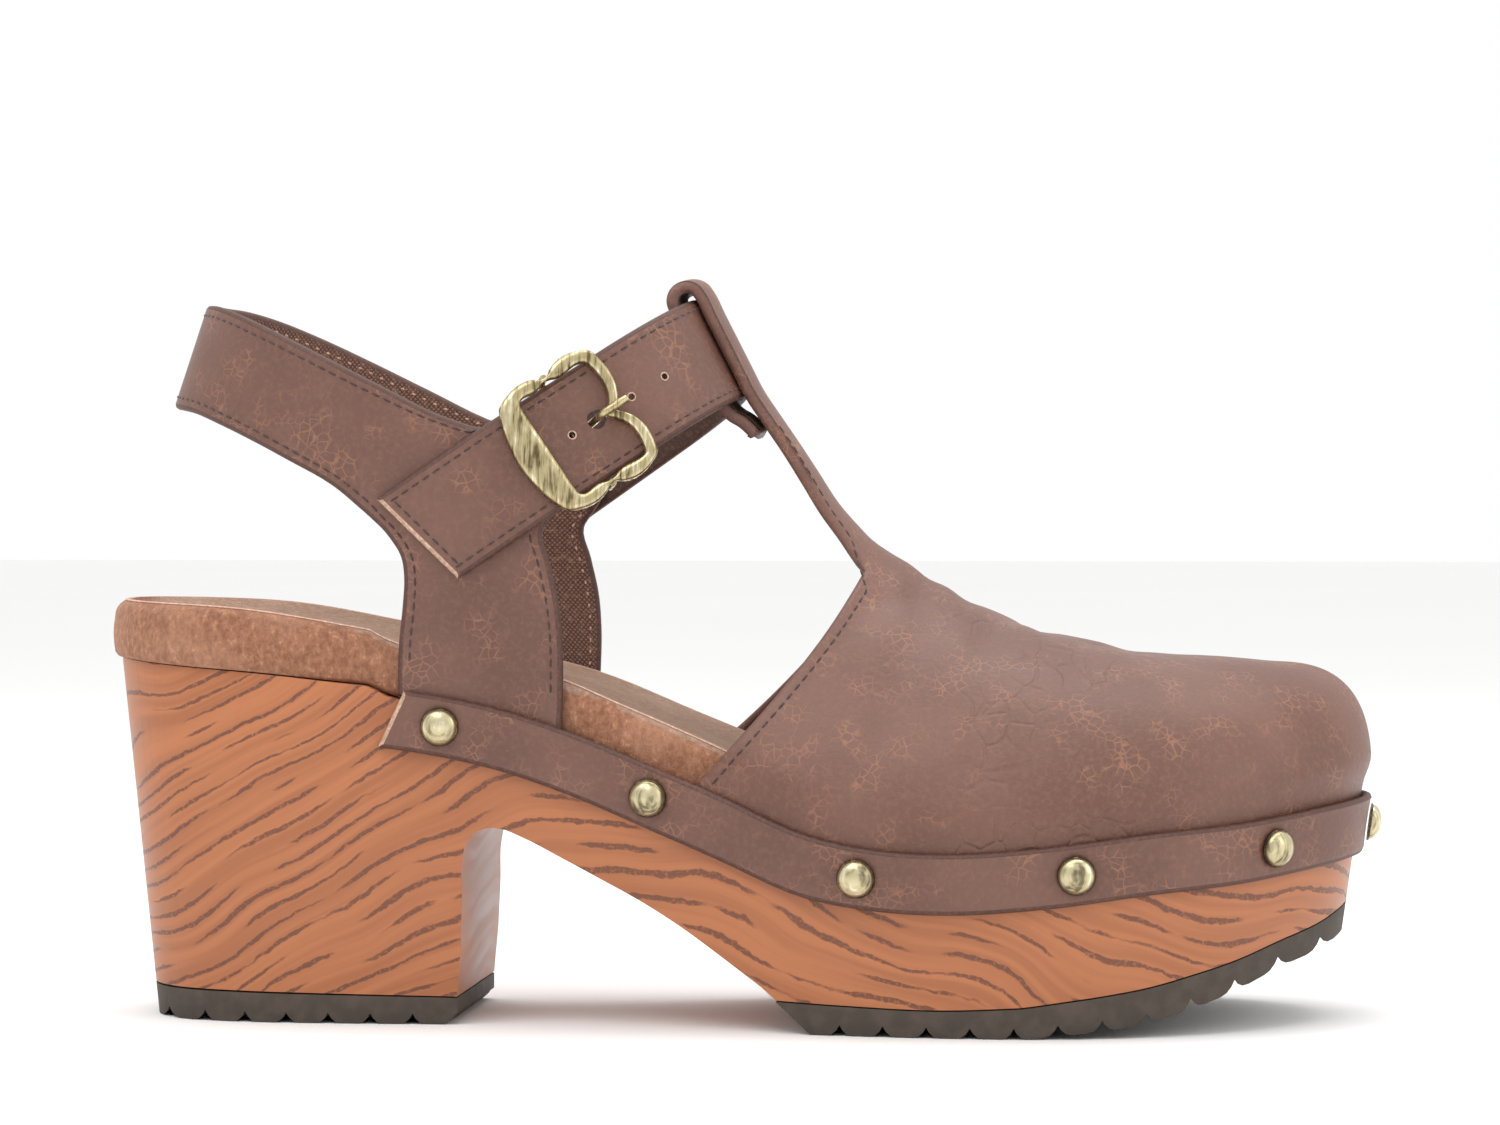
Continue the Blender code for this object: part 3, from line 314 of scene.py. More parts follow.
# Forefoot: rise of the tread as a share of the toe spring, and thickness of the rubber
FOREFOOT = Table(
    "along spring rubber",
    (0.5434, 0.000, 1.17),
    (0.5945, 0.000, 1.07),
    (0.6723, 0.000, 0.98),
    (0.7328, 0.000, 1.10),
    (0.7658, 0.040, 1.17),
    (0.8012, 0.086, 1.24),
    (0.8346, 0.157, 1.26),
    (0.8660, 0.278, 1.20),
    (0.8998, 0.439, 1.07),
    (0.9340, 0.636, 0.95),
    (0.9650, 0.773, 0.96),
    (1.0000, 1.000, 1.00),
)

# One lug of the tread from notch to notch
LUG = Table(
    "across lift",
    (-0.50, 1.00),
    (-0.43, 0.52),
    (-0.32, 0.14),
    (-0.18, 0.00),
    (0.18, 0.00),
    (0.32, 0.14),
    (0.43, 0.52),
    (0.50, 1.00),
)

# Footbed: thickness, hollow of its top and how far its side stands out (heel) or in (elsewhere)
FOOTBED = Table(
    "along thickness cup swell",
    (0.000, 0.92, 1.00, 1.00),
    (0.100, 1.00, 1.00, 1.00),
    (0.170, 0.95, 0.80, 0.60),
    (0.232, 0.86, 0.60, 0.00),
    (0.310, 0.84, 0.45, 0.00),
    (0.376, 0.88, 0.40, 0.00),
    (0.408, 0.86, 0.40, 0.40),
    (0.440, 0.84, 0.40, 0.00),
    (0.560, 0.74, 0.30, 0.00),
    (0.750, 0.55, 0.20, 0.00),
    (1.000, 0.45, 0.10, 0.00),
)

# Vamp: height of its middle line, squareness of its section and how the section leans forward
VAMP = Table(
    "along height power sweep",
    (0.000, 1.000, 1.60, 0.00),
    (0.080, 0.880, 1.68, 0.30),
    (0.160, 0.763, 1.76, 0.60),
    (0.265, 0.600, 1.88, 0.90),
    (0.370, 0.452, 2.00, 1.00),
    (0.475, 0.333, 2.12, 1.00),
    (0.575, 0.222, 2.25, 1.00),
    (0.680, 0.140, 2.40, 1.00),
    (0.800, 0.092, 2.60, 1.00),
    (0.920, 0.036, 2.85, 1.00),
    (1.000, 0.000, 3.00, 1.00),
)
VAMP_TURNS = (0.0, 6.0, 14.0, 24.0, 35.0, 46.0, 57.0, 66.5, 77.0, 90.0)

# T-strap from the vamp to the ankle strap: forward of and below the strap's middle
TSTRAP = Table(
    "forward down half_width crown",
    (0.0284, 0.0362, 1.15, 2.00),
    (0.0243, 0.0315, 1.05, 1.50),
    (0.0202, 0.0252, 1.00, 1.20),
    (0.0161, 0.0190, 1.00, 1.00),
    (0.0124, 0.0136, 1.00, 1.00),
)

# Loop, seen along the instep: out from and across the ankle strap's middle
LOOP_FRONT = Table(
    "across",
    (-0.0112,),
    (-0.0060,),
    (0.0000,),
    (0.0060,),
)
LOOP_CENTRE = 0.0115
LOOP_TURNS = 8
LOOP_BACK = Table(
    "out across",
    (-1.00, 0.0060),
    (-1.00, 0.0000),
    (-1.00, -0.0060),
    (-1.00, -0.0124),
    (-0.80, -0.0144),
    (-0.52, -0.0162),
    (-0.34, -0.0180),
    (-0.22, -0.0198),
)

# Quarter: front and rear edge points of each section up from the sole, then round to the sling
QUARTER = Table(
    "front_along front_rise rear_along rear_rise",
    (0.3741, -0.049, 0.2440, 0.062),
    (0.3737, 0.078, 0.2472, 0.173),
    (0.3705, 0.204, 0.2487, 0.268),
    (0.3646, 0.315, 0.2464, 0.331),
    (0.3591, 0.418, 0.2397, 0.379),
    (0.3686, 0.474, 0.2322, 0.417),
)

# Quarter's end under the ankle strap: place across the strap, and the rear edge point opposite
QUARTER_END = Table(
    "across rear_along rear_rise",
    (-0.40, 0.2240, 0.448),
    (0.00, 0.2173, 0.472),
    (0.40, 0.2102, 0.496),
)

# Section where the quarter turns into the sling
QUARTER_TURN = Table(
    "front_along front_rise rear_along rear_rise",
    (0.3143, 0.742, 0.2004, 0.529),
)
QUARTER_FRONT_ALONG = 0.3729
QUARTER_REAR_ALONG = 0.2429

# Sling: its upper and lower edge, by the share of a quarter turn around the heel
SLING = Table(
    "top_turn top_rise low_turn low_rise",
    (0.000, 0.765, 0.209, 0.563),
    (0.133, 0.880, 0.311, 0.639),
    (0.267, 0.971, 0.422, 0.704),
    (0.422, 1.052, 0.544, 0.756),
    (0.578, 1.108, 0.667, 0.791),
    (0.733, 1.138, 0.789, 0.805),
    (0.867, 1.146, 0.894, 0.810),
    (1.000, 1.149, 1.000, 0.811),
)

# Buckle frame, from the front notch around one half: outer and inner corner of each section
BUCKLE = Table(
    "outer_length outer_width inner_length inner_width",
    (0.76, -0.056, 0.55, -0.056),
    (0.93, 0.180, 0.70, 0.150),
    (1.00, 0.320, 0.79, 0.280),
    (1.00, 0.760, 0.79, 0.740),
    (0.95, 0.910, 0.75, 0.810),
    (0.78, 1.000, 0.66, 0.842),
    (0.17, 1.000, 0.17, 0.842),
    (0.10, 0.955, 0.10, 0.870),
    (-0.10, 0.955, -0.10, 0.870),
    (-0.17, 1.000, -0.17, 0.842),
    (-0.74, 1.000, -0.53, 0.842),
    (-0.92, 0.920, -0.59, 0.800),
    (-1.02, 0.760, -0.61, 0.700),
    (-1.14, 0.400, -0.61, 0.370),
    (-1.19, 0.000, -0.61, 0.000),
)
NOTCH_SKEW = -0.056

# Prong: places along the strap and heights over its middle, from the bar to the tip
PRONG = Table(
    "length height",
    (0.0012, -0.0034),
    (0.0028, -0.0029),
    (0.0039, -0.0012),
    (0.0048, 0.0018),
    (0.0059, 0.0045),
    (0.0078, 0.0052),
    (0.0098, 0.0051),
    (0.0112, 0.0047),
)

outline_lateral = smooth_curve(
    np.arccos(1.0 - 2.0 * OUTLINE.column("along")) / math.pi, OUTLINE.column("lateral"))
outline_medial = smooth_curve(
    np.arccos(1.0 - 2.0 * OUTLINE.column("along")) / math.pi, OUTLINE.column("medial"))
rim_rise = RIM.curve("along", "rise")
fore_spring = FOREFOOT.curve("along", "spring")
fore_rubber = FOREFOOT.curve("along", "rubber")
footbed_thickness = FOOTBED.curve("along", "thickness")
footbed_cup = FOOTBED.curve("along", "cup")
footbed_swell = FOOTBED.curve("along", "swell")
vamp_height = VAMP.curve("along", "height")
vamp_power = VAMP.curve("along", "power")
vamp_sweep = VAMP.curve("along", "sweep")


def mix(a, b, share):
    return a + (b - a) * share


def ramp(value, start, end):
    """0 before start, 1 after end and a soft step between them."""
    t = min(max((value - start) / (end - start), 0.0), 1.0)
    return t * t * (3.0 - 2.0 * t)


def x_at(along):
    return HEEL_BACK_X + SOLE_LENGTH * along


def along_at(x):
    return min(max((x - HEEL_BACK_X) / SOLE_LENGTH, 0.0), 1.0)


# Places on the sole's edge: 0 at the heel's back, 1 at the toe, 2 at the heel's back again

def edge_place(along, medial=False):
    turn = math.acos(1.0 - 2.0 * along) / math.pi
    return 2.0 - turn if medial else turn


def plan_point(place):
    """Point of the platform's top outline: lateral side up to place 1, medial side after it."""
    place = place % 2.0
    turn = min(place, 2.0 - place)
    x = x_at((1.0 - math.cos(math.pi * turn)) / 2.0)
    if place <= 1.0:
        return Vector((x, -BALL_WIDTH * outline_lateral(turn), 0.0))
    return Vector((x, BALL_WIDTH * outline_medial(turn), 0.0))


def plan_normal(place):
    step = 0.004
    tangent = plan_point(place + step) - plan_point(place - step)
    return Vector((tangent.y, -tangent.x, 0.0)).normalized()


def side_lean(normal):
    lean = SIDE_LEAN
    lean += (HEEL_LEAN - SIDE_LEAN) * max(-normal.x, 0.0)
    lean += (TOE_LEAN - SIDE_LEAN) * max(normal.x, 0.0)
    return lean


def sole_side(place, z, out=0.0):
    """Point of the leaning side of the sole at height z, moved out by a distance."""
    point = plan_point(place)
    normal = plan_normal(place)
    inset = (rim_z(point.x) - z) * side_lean(normal)
    point += normal * (out - inset)
    point.z = z
    return point


def half_width(x, medial):
    along = along_at(x)
    return abs(plan_point(edge_place(along, medial)).y)


# Heights of the sole

def rim_z(x):
    return PLATFORM_HEIGHT + (HEEL_HEIGHT - PLATFORM_HEIGHT) * rim_rise(along_at(x))


def seat_z(x):
    """Top of the platform, sunk where the rand covers the upper's lower edge."""
    start = x_at(RAND_TIP_ALONG) - SEAT_RAMP / 2.0
    return rim_z(x) - RAND_COVER * ramp(x, start, start + SEAT_RAMP)


def spring_z(x):
    return TOE_SPRING * max(fore_spring(along_at(x)), 0.0)


def fore_rubber_top(x):
    return spring_z(x) + FORE_RUBBER * fore_rubber(along_at(x))


def heel_rubber_top(x):
    span = x_at(HEEL_FRONT_ALONG) - HEEL_BACK_X
    return HEEL_RUBBER - HEEL_RUBBER_FALL * (x - HEEL_BACK_X) / span


# Shapes that the part's source gives

def boolean(piece, tool, operation):
    """Cut or join a piece with a tool, which is kept as a hidden helper."""
    tool.hide_render = True
    tool.display_type = "WIRE"
    modifier = piece.modifiers.new(operation.lower(), "BOOLEAN")
    modifier.operation = operation
    modifier.object = tool
    modifier.solver = "EXACT"


def grid_faces(rows, columns, first=0):
    """Quads of a grid of points stored row by row."""
    faces = []
    for row in range(rows - 1):
        for column in range(columns - 1):
            corner = first + row * columns + column
            faces.append((corner, corner + 1, corner + columns + 1, corner + columns))
    return faces


def sheet_normals(points, quads):
    """Smooth normals of an open sheet at its points."""
    normals = [Vector((0.0, 0.0, 0.0)) for _ in points]
    for quad in quads:
        corners = [points[i] for i in quad]
        face_normal = (corners[2] - corners[0]).cross(corners[3] - corners[1])
        for i in quad:
            normals[i] += face_normal
    return [normal.normalized() for normal in normals]


def prism(name, section, half_depth, shader):
    """Side profile in X and Z, extruded across the shoe."""
    count = len(section)
    points = [Vector((x, -half_depth, z)) for x, z in section]
    points += [Vector((x, half_depth, z)) for x, z in section]
    faces = [tuple(range(count)), tuple(range(2 * count - 1, count - 1, -1))]
    for i in range(count):
        after = (i + 1) % count
        faces.append((i, i + count, after + count, after))
    return solid(name, points, faces, shader)


def tube(points, radius, sides=8):
    """Points and faces of a round bar along a route, with flat ends."""
    route = [Vector(point) for point in points]
    rings = []
    across = None
    for i, point in enumerate(route):
        before = route[max(i - 1, 0)]
        after = route[min(i + 1, len(route) - 1)]
        tangent = (after - before).normalized()
        if across is None:
            across = tangent.orthogonal().normalized()
        across = (across - tangent * across.dot(tangent)).normalized()
        other = tangent.cross(across)
        for side in range(sides):
            angle = 2.0 * math.pi * side / sides
            rings.append(point + (across * math.cos(angle) + other * math.sin(angle)) * radius)
    faces = [tuple(range(sides)), tuple(range(len(rings) - sides, len(rings)))]
    for ring in range(len(route) - 1):
        for side in range(sides):
            start = ring * sides + side
            after = ring * sides + (side + 1) % sides
            faces.append((start, after, after + sides, start + sides))
    return rings, faces


def sole_block(name, shader, low, high):
    """The sole's leaning outline between two heights, before its side profile is cut."""
    count = 2 * OUTLINE_STATIONS
    places = [2.0 * i / count for i in range(count)]
    points = [sole_side(place, low) for place in places]
    points += [sole_side(place, high) for place in places]
    faces = [tuple(range(count)), tuple(range(2 * count - 1, count - 1, -1))]
    for i in range(count):
        after = (i + 1) % count
        faces.append((i, i + count, after + count, after))
    return solid(name, points, faces, shader)


def tread(centres, base):
    """Scalloped bottom of a row of lugs, from back to front."""
    section = []
    for centre in centres:
        for across, lift in LUG.rows:
            x = centre + across * LUG_PITCH
            point = (x, base(x) + lift * LUG_DEPTH)
            if not section or x > section[-1][0] + 1e-6:
                section.append(point)
    return section


def spaced(start, end, steps):
    return [mix(start, end, i / steps) for i in range(steps + 1)]


def footbed_top(x):
    return seat_z(x) + GAP + FOOTBED_THICKNESS * footbed_thickness(along_at(x))


def footbed_out(x):
    """How far the footbed's side stands out from the platform's outline."""
    inside = QUARTER_WALL + GAP
    swell = footbed_swell(along_at(x))
    return mix(-inside, FOOTBED_SWELL, swell)


def strap_direction():
    return Vector((-math.cos(STRAP_SLOPE), 0.0, -math.sin(STRAP_SLOPE)))


def strap_middle():
    return Vector((x_at(STRAP_NOSE_ALONG), 0.0, HEEL_HEIGHT + ANKLE_RISE))


def strap_reach(x, z):
    """Distance of a point from the front of the ankle strap, back along its plane."""
    return (Vector((x, 0.0, z)) - strap_middle()).dot(strap_direction())


def strap_half_span(reach):
    """Half the distance between the strap's two legs: a round nose, straight legs, then level."""
    nose_end = NOSE_RADIUS * (1.0 - math.cos(NOSE_TURN))
    if reach <= nose_end:
        return math.sqrt(max(NOSE_RADIUS ** 2 - (NOSE_RADIUS - reach) ** 2, 0.0))
    slope = 1.0 / math.tan(NOSE_TURN)
    straight = min(reach, FLATTEN_START) - nose_end
    span = NOSE_RADIUS * math.sin(NOSE_TURN) + slope * straight
    bend = min(max(reach - FLATTEN_START, 0.0), FLATTEN_END - FLATTEN_START)
    return span + slope * (bend - bend * bend / (2.0 * (FLATTEN_END - FLATTEN_START)))


def strap_lift():
    """From the quarter's outer face to the middle of the strap that lies on it."""
    return (GAP + STRAP_THICKNESS / 2.0) / math.sin(NOSE_TURN)


def cross_vector(reach):
    """Direction across the strap, from its lower to its upper edge."""
    stations = (0.0, BUCKLE_REACH - BUCKLE_HALF_LENGTH, BUCKLE_REACH + BUCKLE_HALF_LENGTH, LATERAL_REACH)
    angle = np.interp(reach, stations, (CROSS_AT_NOSE, CROSS_AT_BUCKLE, CROSS_AT_BUCKLE, CROSS_AT_TAIL))
    return Vector((math.cos(angle), 0.0, math.sin(angle)))


def quarter_half_width(x, z, medial):
    """Outer half width of the quarter and sling at one place of the side view."""
    width = strap_half_span(strap_reach(x, z)) - strap_lift()
    turn_x = x_at(SLING_TURN_ALONG)
    if x < turn_x:
        share = (turn_x - x) / (turn_x - sling_back_x(z))
        width *= (1.0 - min(share, 1.0) ** SLING_POWER) ** (1.0 / SLING_POWER)
    rise = ramp(z, rim_z(x), rim_z(x) + QUARTER_BLEND)
    return mix(half_width(x, medial), width, rise)


def strap_point(reach, across, medial):
    """Point of the strap's middle surface."""
    point = strap_middle() + strap_direction() * reach + cross_vector(reach) * across
    nose_end = NOSE_RADIUS * (1.0 - math.cos(NOSE_TURN))
    if reach <= nose_end:
        span = strap_half_span(reach)
    else:
        span = quarter_half_width(point.x, point.z, medial) + strap_lift()
    point.y = span if medial else -span
    return point


def sling_back_x(z):
    return x_at(SLING_BACK_ALONG) + SLING_LEAN * (z - rise_z(SLING.column("low_rise")[-1]))


def rise_z(rise):
    return HEEL_HEIGHT + ANKLE_RISE * rise


def edge_section(front_along, front_rise, rear_along, rear_rise):
    return x_at(front_along), rise_z(front_rise), x_at(rear_along), rise_z(rear_rise)


def quarter_sections():
    """Front and rear edge points up the quarter, whose end lies under the ankle strap."""
    stop = BUCKLE_REACH + QUARTER_STOP
    sections = [edge_section(*row) for row in QUARTER.rows]
    for across, rear_along, rear_rise in QUARTER_END.rows:
        front = strap_middle() + strap_direction() * stop + cross_vector(stop) * (STRAP_WIDTH * across)
        sections.append((front.x, front.z, x_at(rear_along), rise_z(rear_rise)))
    return sections + [edge_section(*row) for row in QUARTER_TURN.rows]


def quarter_side(medial):
    """Rows of outer points from the sole up the quarter and along the sling to the heel."""
    shares = [i / BAND_COLUMNS for i in range(BAND_COLUMNS + 1)]
    rows = []
    for lift in (GAP - RAND_COVER, RIM_CLEARANCE):
        xs = [mix(x_at(QUARTER_FRONT_ALONG), x_at(QUARTER_REAR_ALONG), share) for share in shares]
        rows.append([Vector((x, half_width(x, medial), rim_z(x) + lift)) for x in xs])
    inset = SIDE_LEAN * RAND_COVER
    rows[0] = [Vector((point.x, point.y - inset, seat_z(point.x) + GAP)) for point in rows[0]]
    for front_x, front_z, rear_x, rear_z in quarter_sections():
        row = []
        for share in shares:
            x = mix(front_x, rear_x, share)
            z = mix(front_z, rear_z, share)
            row.append(Vector((x, quarter_half_width(x, z, medial), z)))
        rows.append(row)
    for top_turn, top_rise, low_turn, low_rise in SLING.rows:
        row = []
        for share in shares:
            turn = mix(top_turn, low_turn, share) * math.pi / 2.0
            z = mix(rise_z(top_rise), rise_z(low_rise), share)
            turn_x = x_at(SLING_TURN_ALONG)
            x = turn_x - (turn_x - sling_back_x(z)) * math.sin(turn) ** (2.0 / SLING_POWER)
            width = strap_half_span(strap_reach(x, z)) - strap_lift()
            row.append(Vector((x, width * max(math.cos(turn), 0.0) ** (2.0 / SLING_POWER), z)))
        rows.append(row)
    sign = 1.0 if medial else -1.0
    return [[Vector((point.x, sign * point.y, point.z)) for point in row] for row in rows]


def spine_point(share):
    """Point of the vamp's middle line, from the throat to the toe."""
    x = x_at(mix(SPINE_BACK_ALONG, SPINE_FRONT_ALONG, share))
    height = mix(TOE_BOX_HEIGHT, VAMP_HEIGHT, vamp_height(share))
    return Vector((x, SPINE_FRONT_SHIFT * share, rim_z(x) + height))


def vamp_side(share, medial, turns):
    """Outer points of half a section, from the sole up to the middle line."""
    start = edge_place(VAMP_FOOT_MEDIAL if medial else VAMP_FOOT_LATERAL, medial)
    place = mix(start, 1.0, share)
    base = plan_point(place)
    normal = plan_normal(place)
    spine = spine_point(share)
    power = vamp_power(share)
    rim = rim_z(base.x) + RIM_CLEARANCE
    points = [sole_side(place, seat_z(base.x) + GAP)]
    for degrees in turns:
        turn = math.radians(degrees)
        inward = 1.0 - max(math.cos(turn), 0.0) ** (2.0 / power)
        upward = math.sin(turn) ** (2.0 / power)
        forward = mix(1.0 - (1.0 - upward) ** THROAT_SWEEP, inward, vamp_sweep(share))
        height = mix(rim, spine.z, upward)
        point = Vector((mix(base.x, spine.x, forward), mix(base.y, spine.y, inward), height))
        bulge = ramp(height, rim, rim + BULGE_RISE) * math.cos(turn)
        points.append(point + normal * VAMP_BULGE * bulge)
    return points


def loop_frame():
    """Middle of the ankle strap at the instep, its outward and its upward direction."""
    upward = cross_vector(0.0)
    outward = Vector((upward.z, 0.0, -upward.x))
    return strap_middle(), outward, upward


def tstrap_route():
    """Outer middle line of T-strap and loop, with half widths, crowns and thicknesses."""
    middle, outward, upward = loop_frame()
    reach_out = STRAP_THICKNESS / 2.0 + LOOP_CLEARANCE + TONGUE_THICKNESS
    bend = NOSE_RADIUS - math.sqrt(NOSE_RADIUS ** 2 - TSTRAP_HALF_WIDTH ** 2)
    stations = []
    for forward, down, width, crown in TSTRAP.rows:
        point = middle + Vector((forward, 0.0, -down))
        stations.append((point, TSTRAP_HALF_WIDTH * width, bend * crown))
    places = [(reach_out, across) for across in LOOP_FRONT.column("across")]
    for i in range(LOOP_TURNS + 1):
        turn = math.pi * i / LOOP_TURNS
        places.append((reach_out * math.cos(turn), LOOP_CENTRE + reach_out * math.sin(turn)))
    places += [(reach_out * out, across) for out, across in LOOP_BACK.rows]
    for out, across in places:
        stations.append((middle + outward * out + upward * across, TSTRAP_HALF_WIDTH, bend))
    return stations


def buckle_axes():
    """Middle of the buckle, forwards along the strap, upwards across it and outwards."""
    middle = strap_point(BUCKLE_REACH, 0.0, medial=False)
    step = BUCKLE_EDGE
    forwards = (strap_point(BUCKLE_REACH - step, 0.0, medial=False) - middle).normalized()
    upwards = (strap_point(BUCKLE_REACH, step, medial=False) - middle).normalized()
    return middle, forwards, upwards, forwards.cross(upwards)


def on_buckle(length, width, height):
    middle, forwards, upwards, outwards = buckle_axes()
    return middle + forwards * length + upwards * width + outwards * height


def buckle_sections():
    """Outer and inner corners all around the frame."""
    rows = [tuple(row) for row in BUCKLE.rows]
    mirrored = [(a, -b, c, -d) for a, b, c, d in reversed(rows[1:-1])]
    sections = []
    for outer_length, outer_width, inner_length, inner_width in rows + mirrored:
        outer_width += NOTCH_SKEW * (1.0 - abs(outer_width)) if outer_length > 0.9 else 0.0
        inner_width += NOTCH_SKEW * (1.0 - abs(inner_width)) if outer_length > 0.9 else 0.0
        sections.append((outer_length * BUCKLE_HALF_LENGTH, outer_width * BUCKLE_HALF_WIDTH,
                         inner_length * BUCKLE_HALF_LENGTH, inner_width * BUCKLE_HALF_WIDTH))
    return sections


def drum(name, radius, start, end, shader, sides=16):
    """Round disc around the buckle's bar, between two places across the strap."""
    ends = (on_buckle(0.0, start, -BAR_DEPTH), on_buckle(0.0, end, -BAR_DEPTH))
    points, faces = tube(ends, radius, sides)
    return solid(name, points, faces, shader)


def stud_places():
    """Places on the sole's edge: even steps from the first stud to the toe on each side."""
    steps = 120
    places = []
    for medial in (False, True):
        start = edge_place(FIRST_STUD_ALONG, medial)
        samples = spaced(start, 1.0, steps)
        points = [plan_point(place) for place in samples]
        lengths = [0.0]
        for i in range(steps):
            lengths.append(lengths[-1] + (points[i + 1] - points[i]).length)
        for i in range(STUDS_PER_SIDE):
            places.append(float(np.interp(lengths[-1] * i / STUDS_PER_SIDE, lengths, samples)))
    return sorted(places + [1.0])


# Mesh tools

def new_piece(name, points, faces, shaders):
    """A linked object with smooth faces."""
    mesh = bpy.data.meshes.new(name)
    mesh.from_pydata([tuple(point) for point in points], [], faces)
    for shader in shaders:
        mesh.materials.append(shader)
    mesh.shade_smooth()
    piece = bpy.data.objects.new(name, mesh)
    bpy.context.collection.objects.link(piece)
    return piece


def turn_outwards(mesh, weld=False):
    """Turn all faces outwards, after joining doubled points where that is asked for."""
    shape = bmesh.new()
    shape.from_mesh(mesh)
    if weld:
        bmesh.ops.remove_doubles(shape, verts=shape.verts, dist=1e-6)
        bmesh.ops.dissolve_degenerate(shape, edges=shape.edges, dist=1e-6)
    bmesh.ops.recalc_face_normals(shape, faces=shape.faces)
    if shape.calc_volume(signed=True) < 0.0:
        bmesh.ops.reverse_faces(shape, faces=shape.faces)
    shape.to_mesh(mesh)
    shape.free()


def solid(name, points, faces, shader, smooth_angle=35.0):
    """One closed object from points and faces, with its faces turned outwards."""
    piece = new_piece(name, points, faces, (shader,))
    turn_outwards(piece.data, weld=True)
    piece.data.shade_smooth()
    piece.data.set_sharp_from_angle(angle=math.radians(smooth_angle))
    return piece


def settle(piece, tools=(), smooth_angle=35.0):
    """Apply a piece's modifiers and remove the tools that cut it."""
    graph = bpy.context.evaluated_depsgraph_get()
    mesh = bpy.data.meshes.new_from_object(piece.evaluated_get(graph))
    piece.modifiers.clear()
    piece.data = mesh
    for tool in tools:
        bpy.data.objects.remove(tool, do_unlink=True)
    mesh.shade_smooth()
    mesh.set_sharp_from_angle(angle=math.radians(smooth_angle))


def bevel(piece, width, segments=3, angle=28.0):
    modifier = piece.modifiers.new("bevel", "BEVEL")
    modifier.width = width
    modifier.segments = segments
    modifier.limit_method = "ANGLE"
    modifier.angle_limit = math.radians(angle)
    modifier.harden_normals = False


def refine(rows, steps):
    """More rows of points between the given ones, on a smooth curve through them."""
    grid = np.array([[tuple(point) for point in row] for row in rows])
    gaps = np.linalg.norm(np.diff(grid, axis=0), axis=2).mean(axis=1)
    at = np.concatenate(([0.0], np.cumsum(gaps)))
    slopes = np.gradient(grid, at, axis=0)
    fine = []
    for i in range(len(at) - 1):
        span = at[i + 1] - at[i]
        for step in range(steps):
            t = step / steps
            from_left = (1.0 + 2.0 * t) * (1.0 - t) ** 2 * grid[i] + t * (1.0 - t) ** 2 * span * slopes[i]
            from_right = t * t * (3.0 - 2.0 * t) * grid[i + 1]
            from_right += t * t * (t - 1.0) * span * slopes[i + 1]
            fine.append(from_left + from_right)
    fine.append(grid[-1])
    return [[Vector(point) for point in row] for row in fine]


def round_sheet(name, outer, normals, walls, quads, shaders, pale_edge=None):
    """A leather wall with rounded edges: face, edge and lining have materials of their own."""
    centre_of = {}
    outward = {}
    uses = {}
    for quad in quads:
        for i, corner in enumerate(quad):
            edge = (corner, quad[(i + 1) % len(quad)])
            uses.setdefault(frozenset(edge), []).append((edge, quad))
    rim = []
    for edges in uses.values():
        if len(edges) > 1:
            continue
        (start, end), quad = edges[0]
        middle = sum((outer[i] for i in quad), Vector()) / len(quad)
        side = (outer[end] - outer[start]).cross(normals[start] + normals[end])
        if side.dot((outer[start] + outer[end]) / 2.0 - middle) < 0.0:
            side = -side
        for corner in (start, end):
            outward[corner] = outward.get(corner, Vector()) + side
        rim.append((start, end))
    points = list(outer)
    inner = [point - normal * wall for point, normal, wall in zip(outer, normals, walls)]
    rings = {}
    turns = (45.0, 0.0, -45.0)
    for corner, side in outward.items():
        radius = walls[corner] / 2.0
        side = side.normalized() * radius
        rise = normals[corner] * radius
        centre = outer[corner] - rise - side
        points[corner] = centre + rise
        inner[corner] = centre - rise
        centre_of[corner] = centre
    count = len(outer)
    points += inner
    for corner, side in outward.items():
        radius = walls[corner] / 2.0
        side = side.normalized() * radius
        rise = normals[corner] * radius
        rings[corner] = []
        for degrees in turns:
            turn = math.radians(degrees)
            rings[corner].append(len(points))
            points.append(centre_of[corner] + rise * math.sin(turn) + side * math.cos(turn))
    faces = [tuple(quad) for quad in quads]
    slots = [0] * len(quads)
    faces += [tuple(count + i for i in reversed(quad)) for quad in quads]
    slots += [2] * len(quads)
    for start, end in rim:
        slot = 1
        if pale_edge and pale_edge(start) and pale_edge(end):
            slot = 3
        here = [start] + rings[start] + [count + start]
        there = [end] + rings[end] + [count + end]
        for i in range(len(here) - 1):
            faces.append((there[i], here[i], here[i + 1], there[i + 1]))
            slots.append(slot)
    piece = new_piece(name, points, faces, shaders)
    piece.data.polygons.foreach_set("material_index", slots)
    turn_outwards(piece.data)
    return piece


def outward_normals(points, quads, check, direction):
    """Normals of a sheet, turned so that the one at the check point agrees with a direction."""
    normals = sheet_normals(points, quads)
    if normals[check].dot(direction) < 0.0:
        normals = [-normal for normal in normals]
    return normals


# Stitches

def inset_route(rows, normals, distance):
    """Points and normals at a distance from the first point of each row."""
    route = []
    for row, row_normals in zip(rows, normals):
        left = distance
        for i in range(len(row) - 1):
            length = (row[i + 1] - row[i]).length
            if left <= length:
                share = left / length
                point = row[i].lerp(row[i + 1], share)
                route.append((point, row_normals[i].lerp(row_normals[i + 1], share)))
                break
            left -= length
    return route


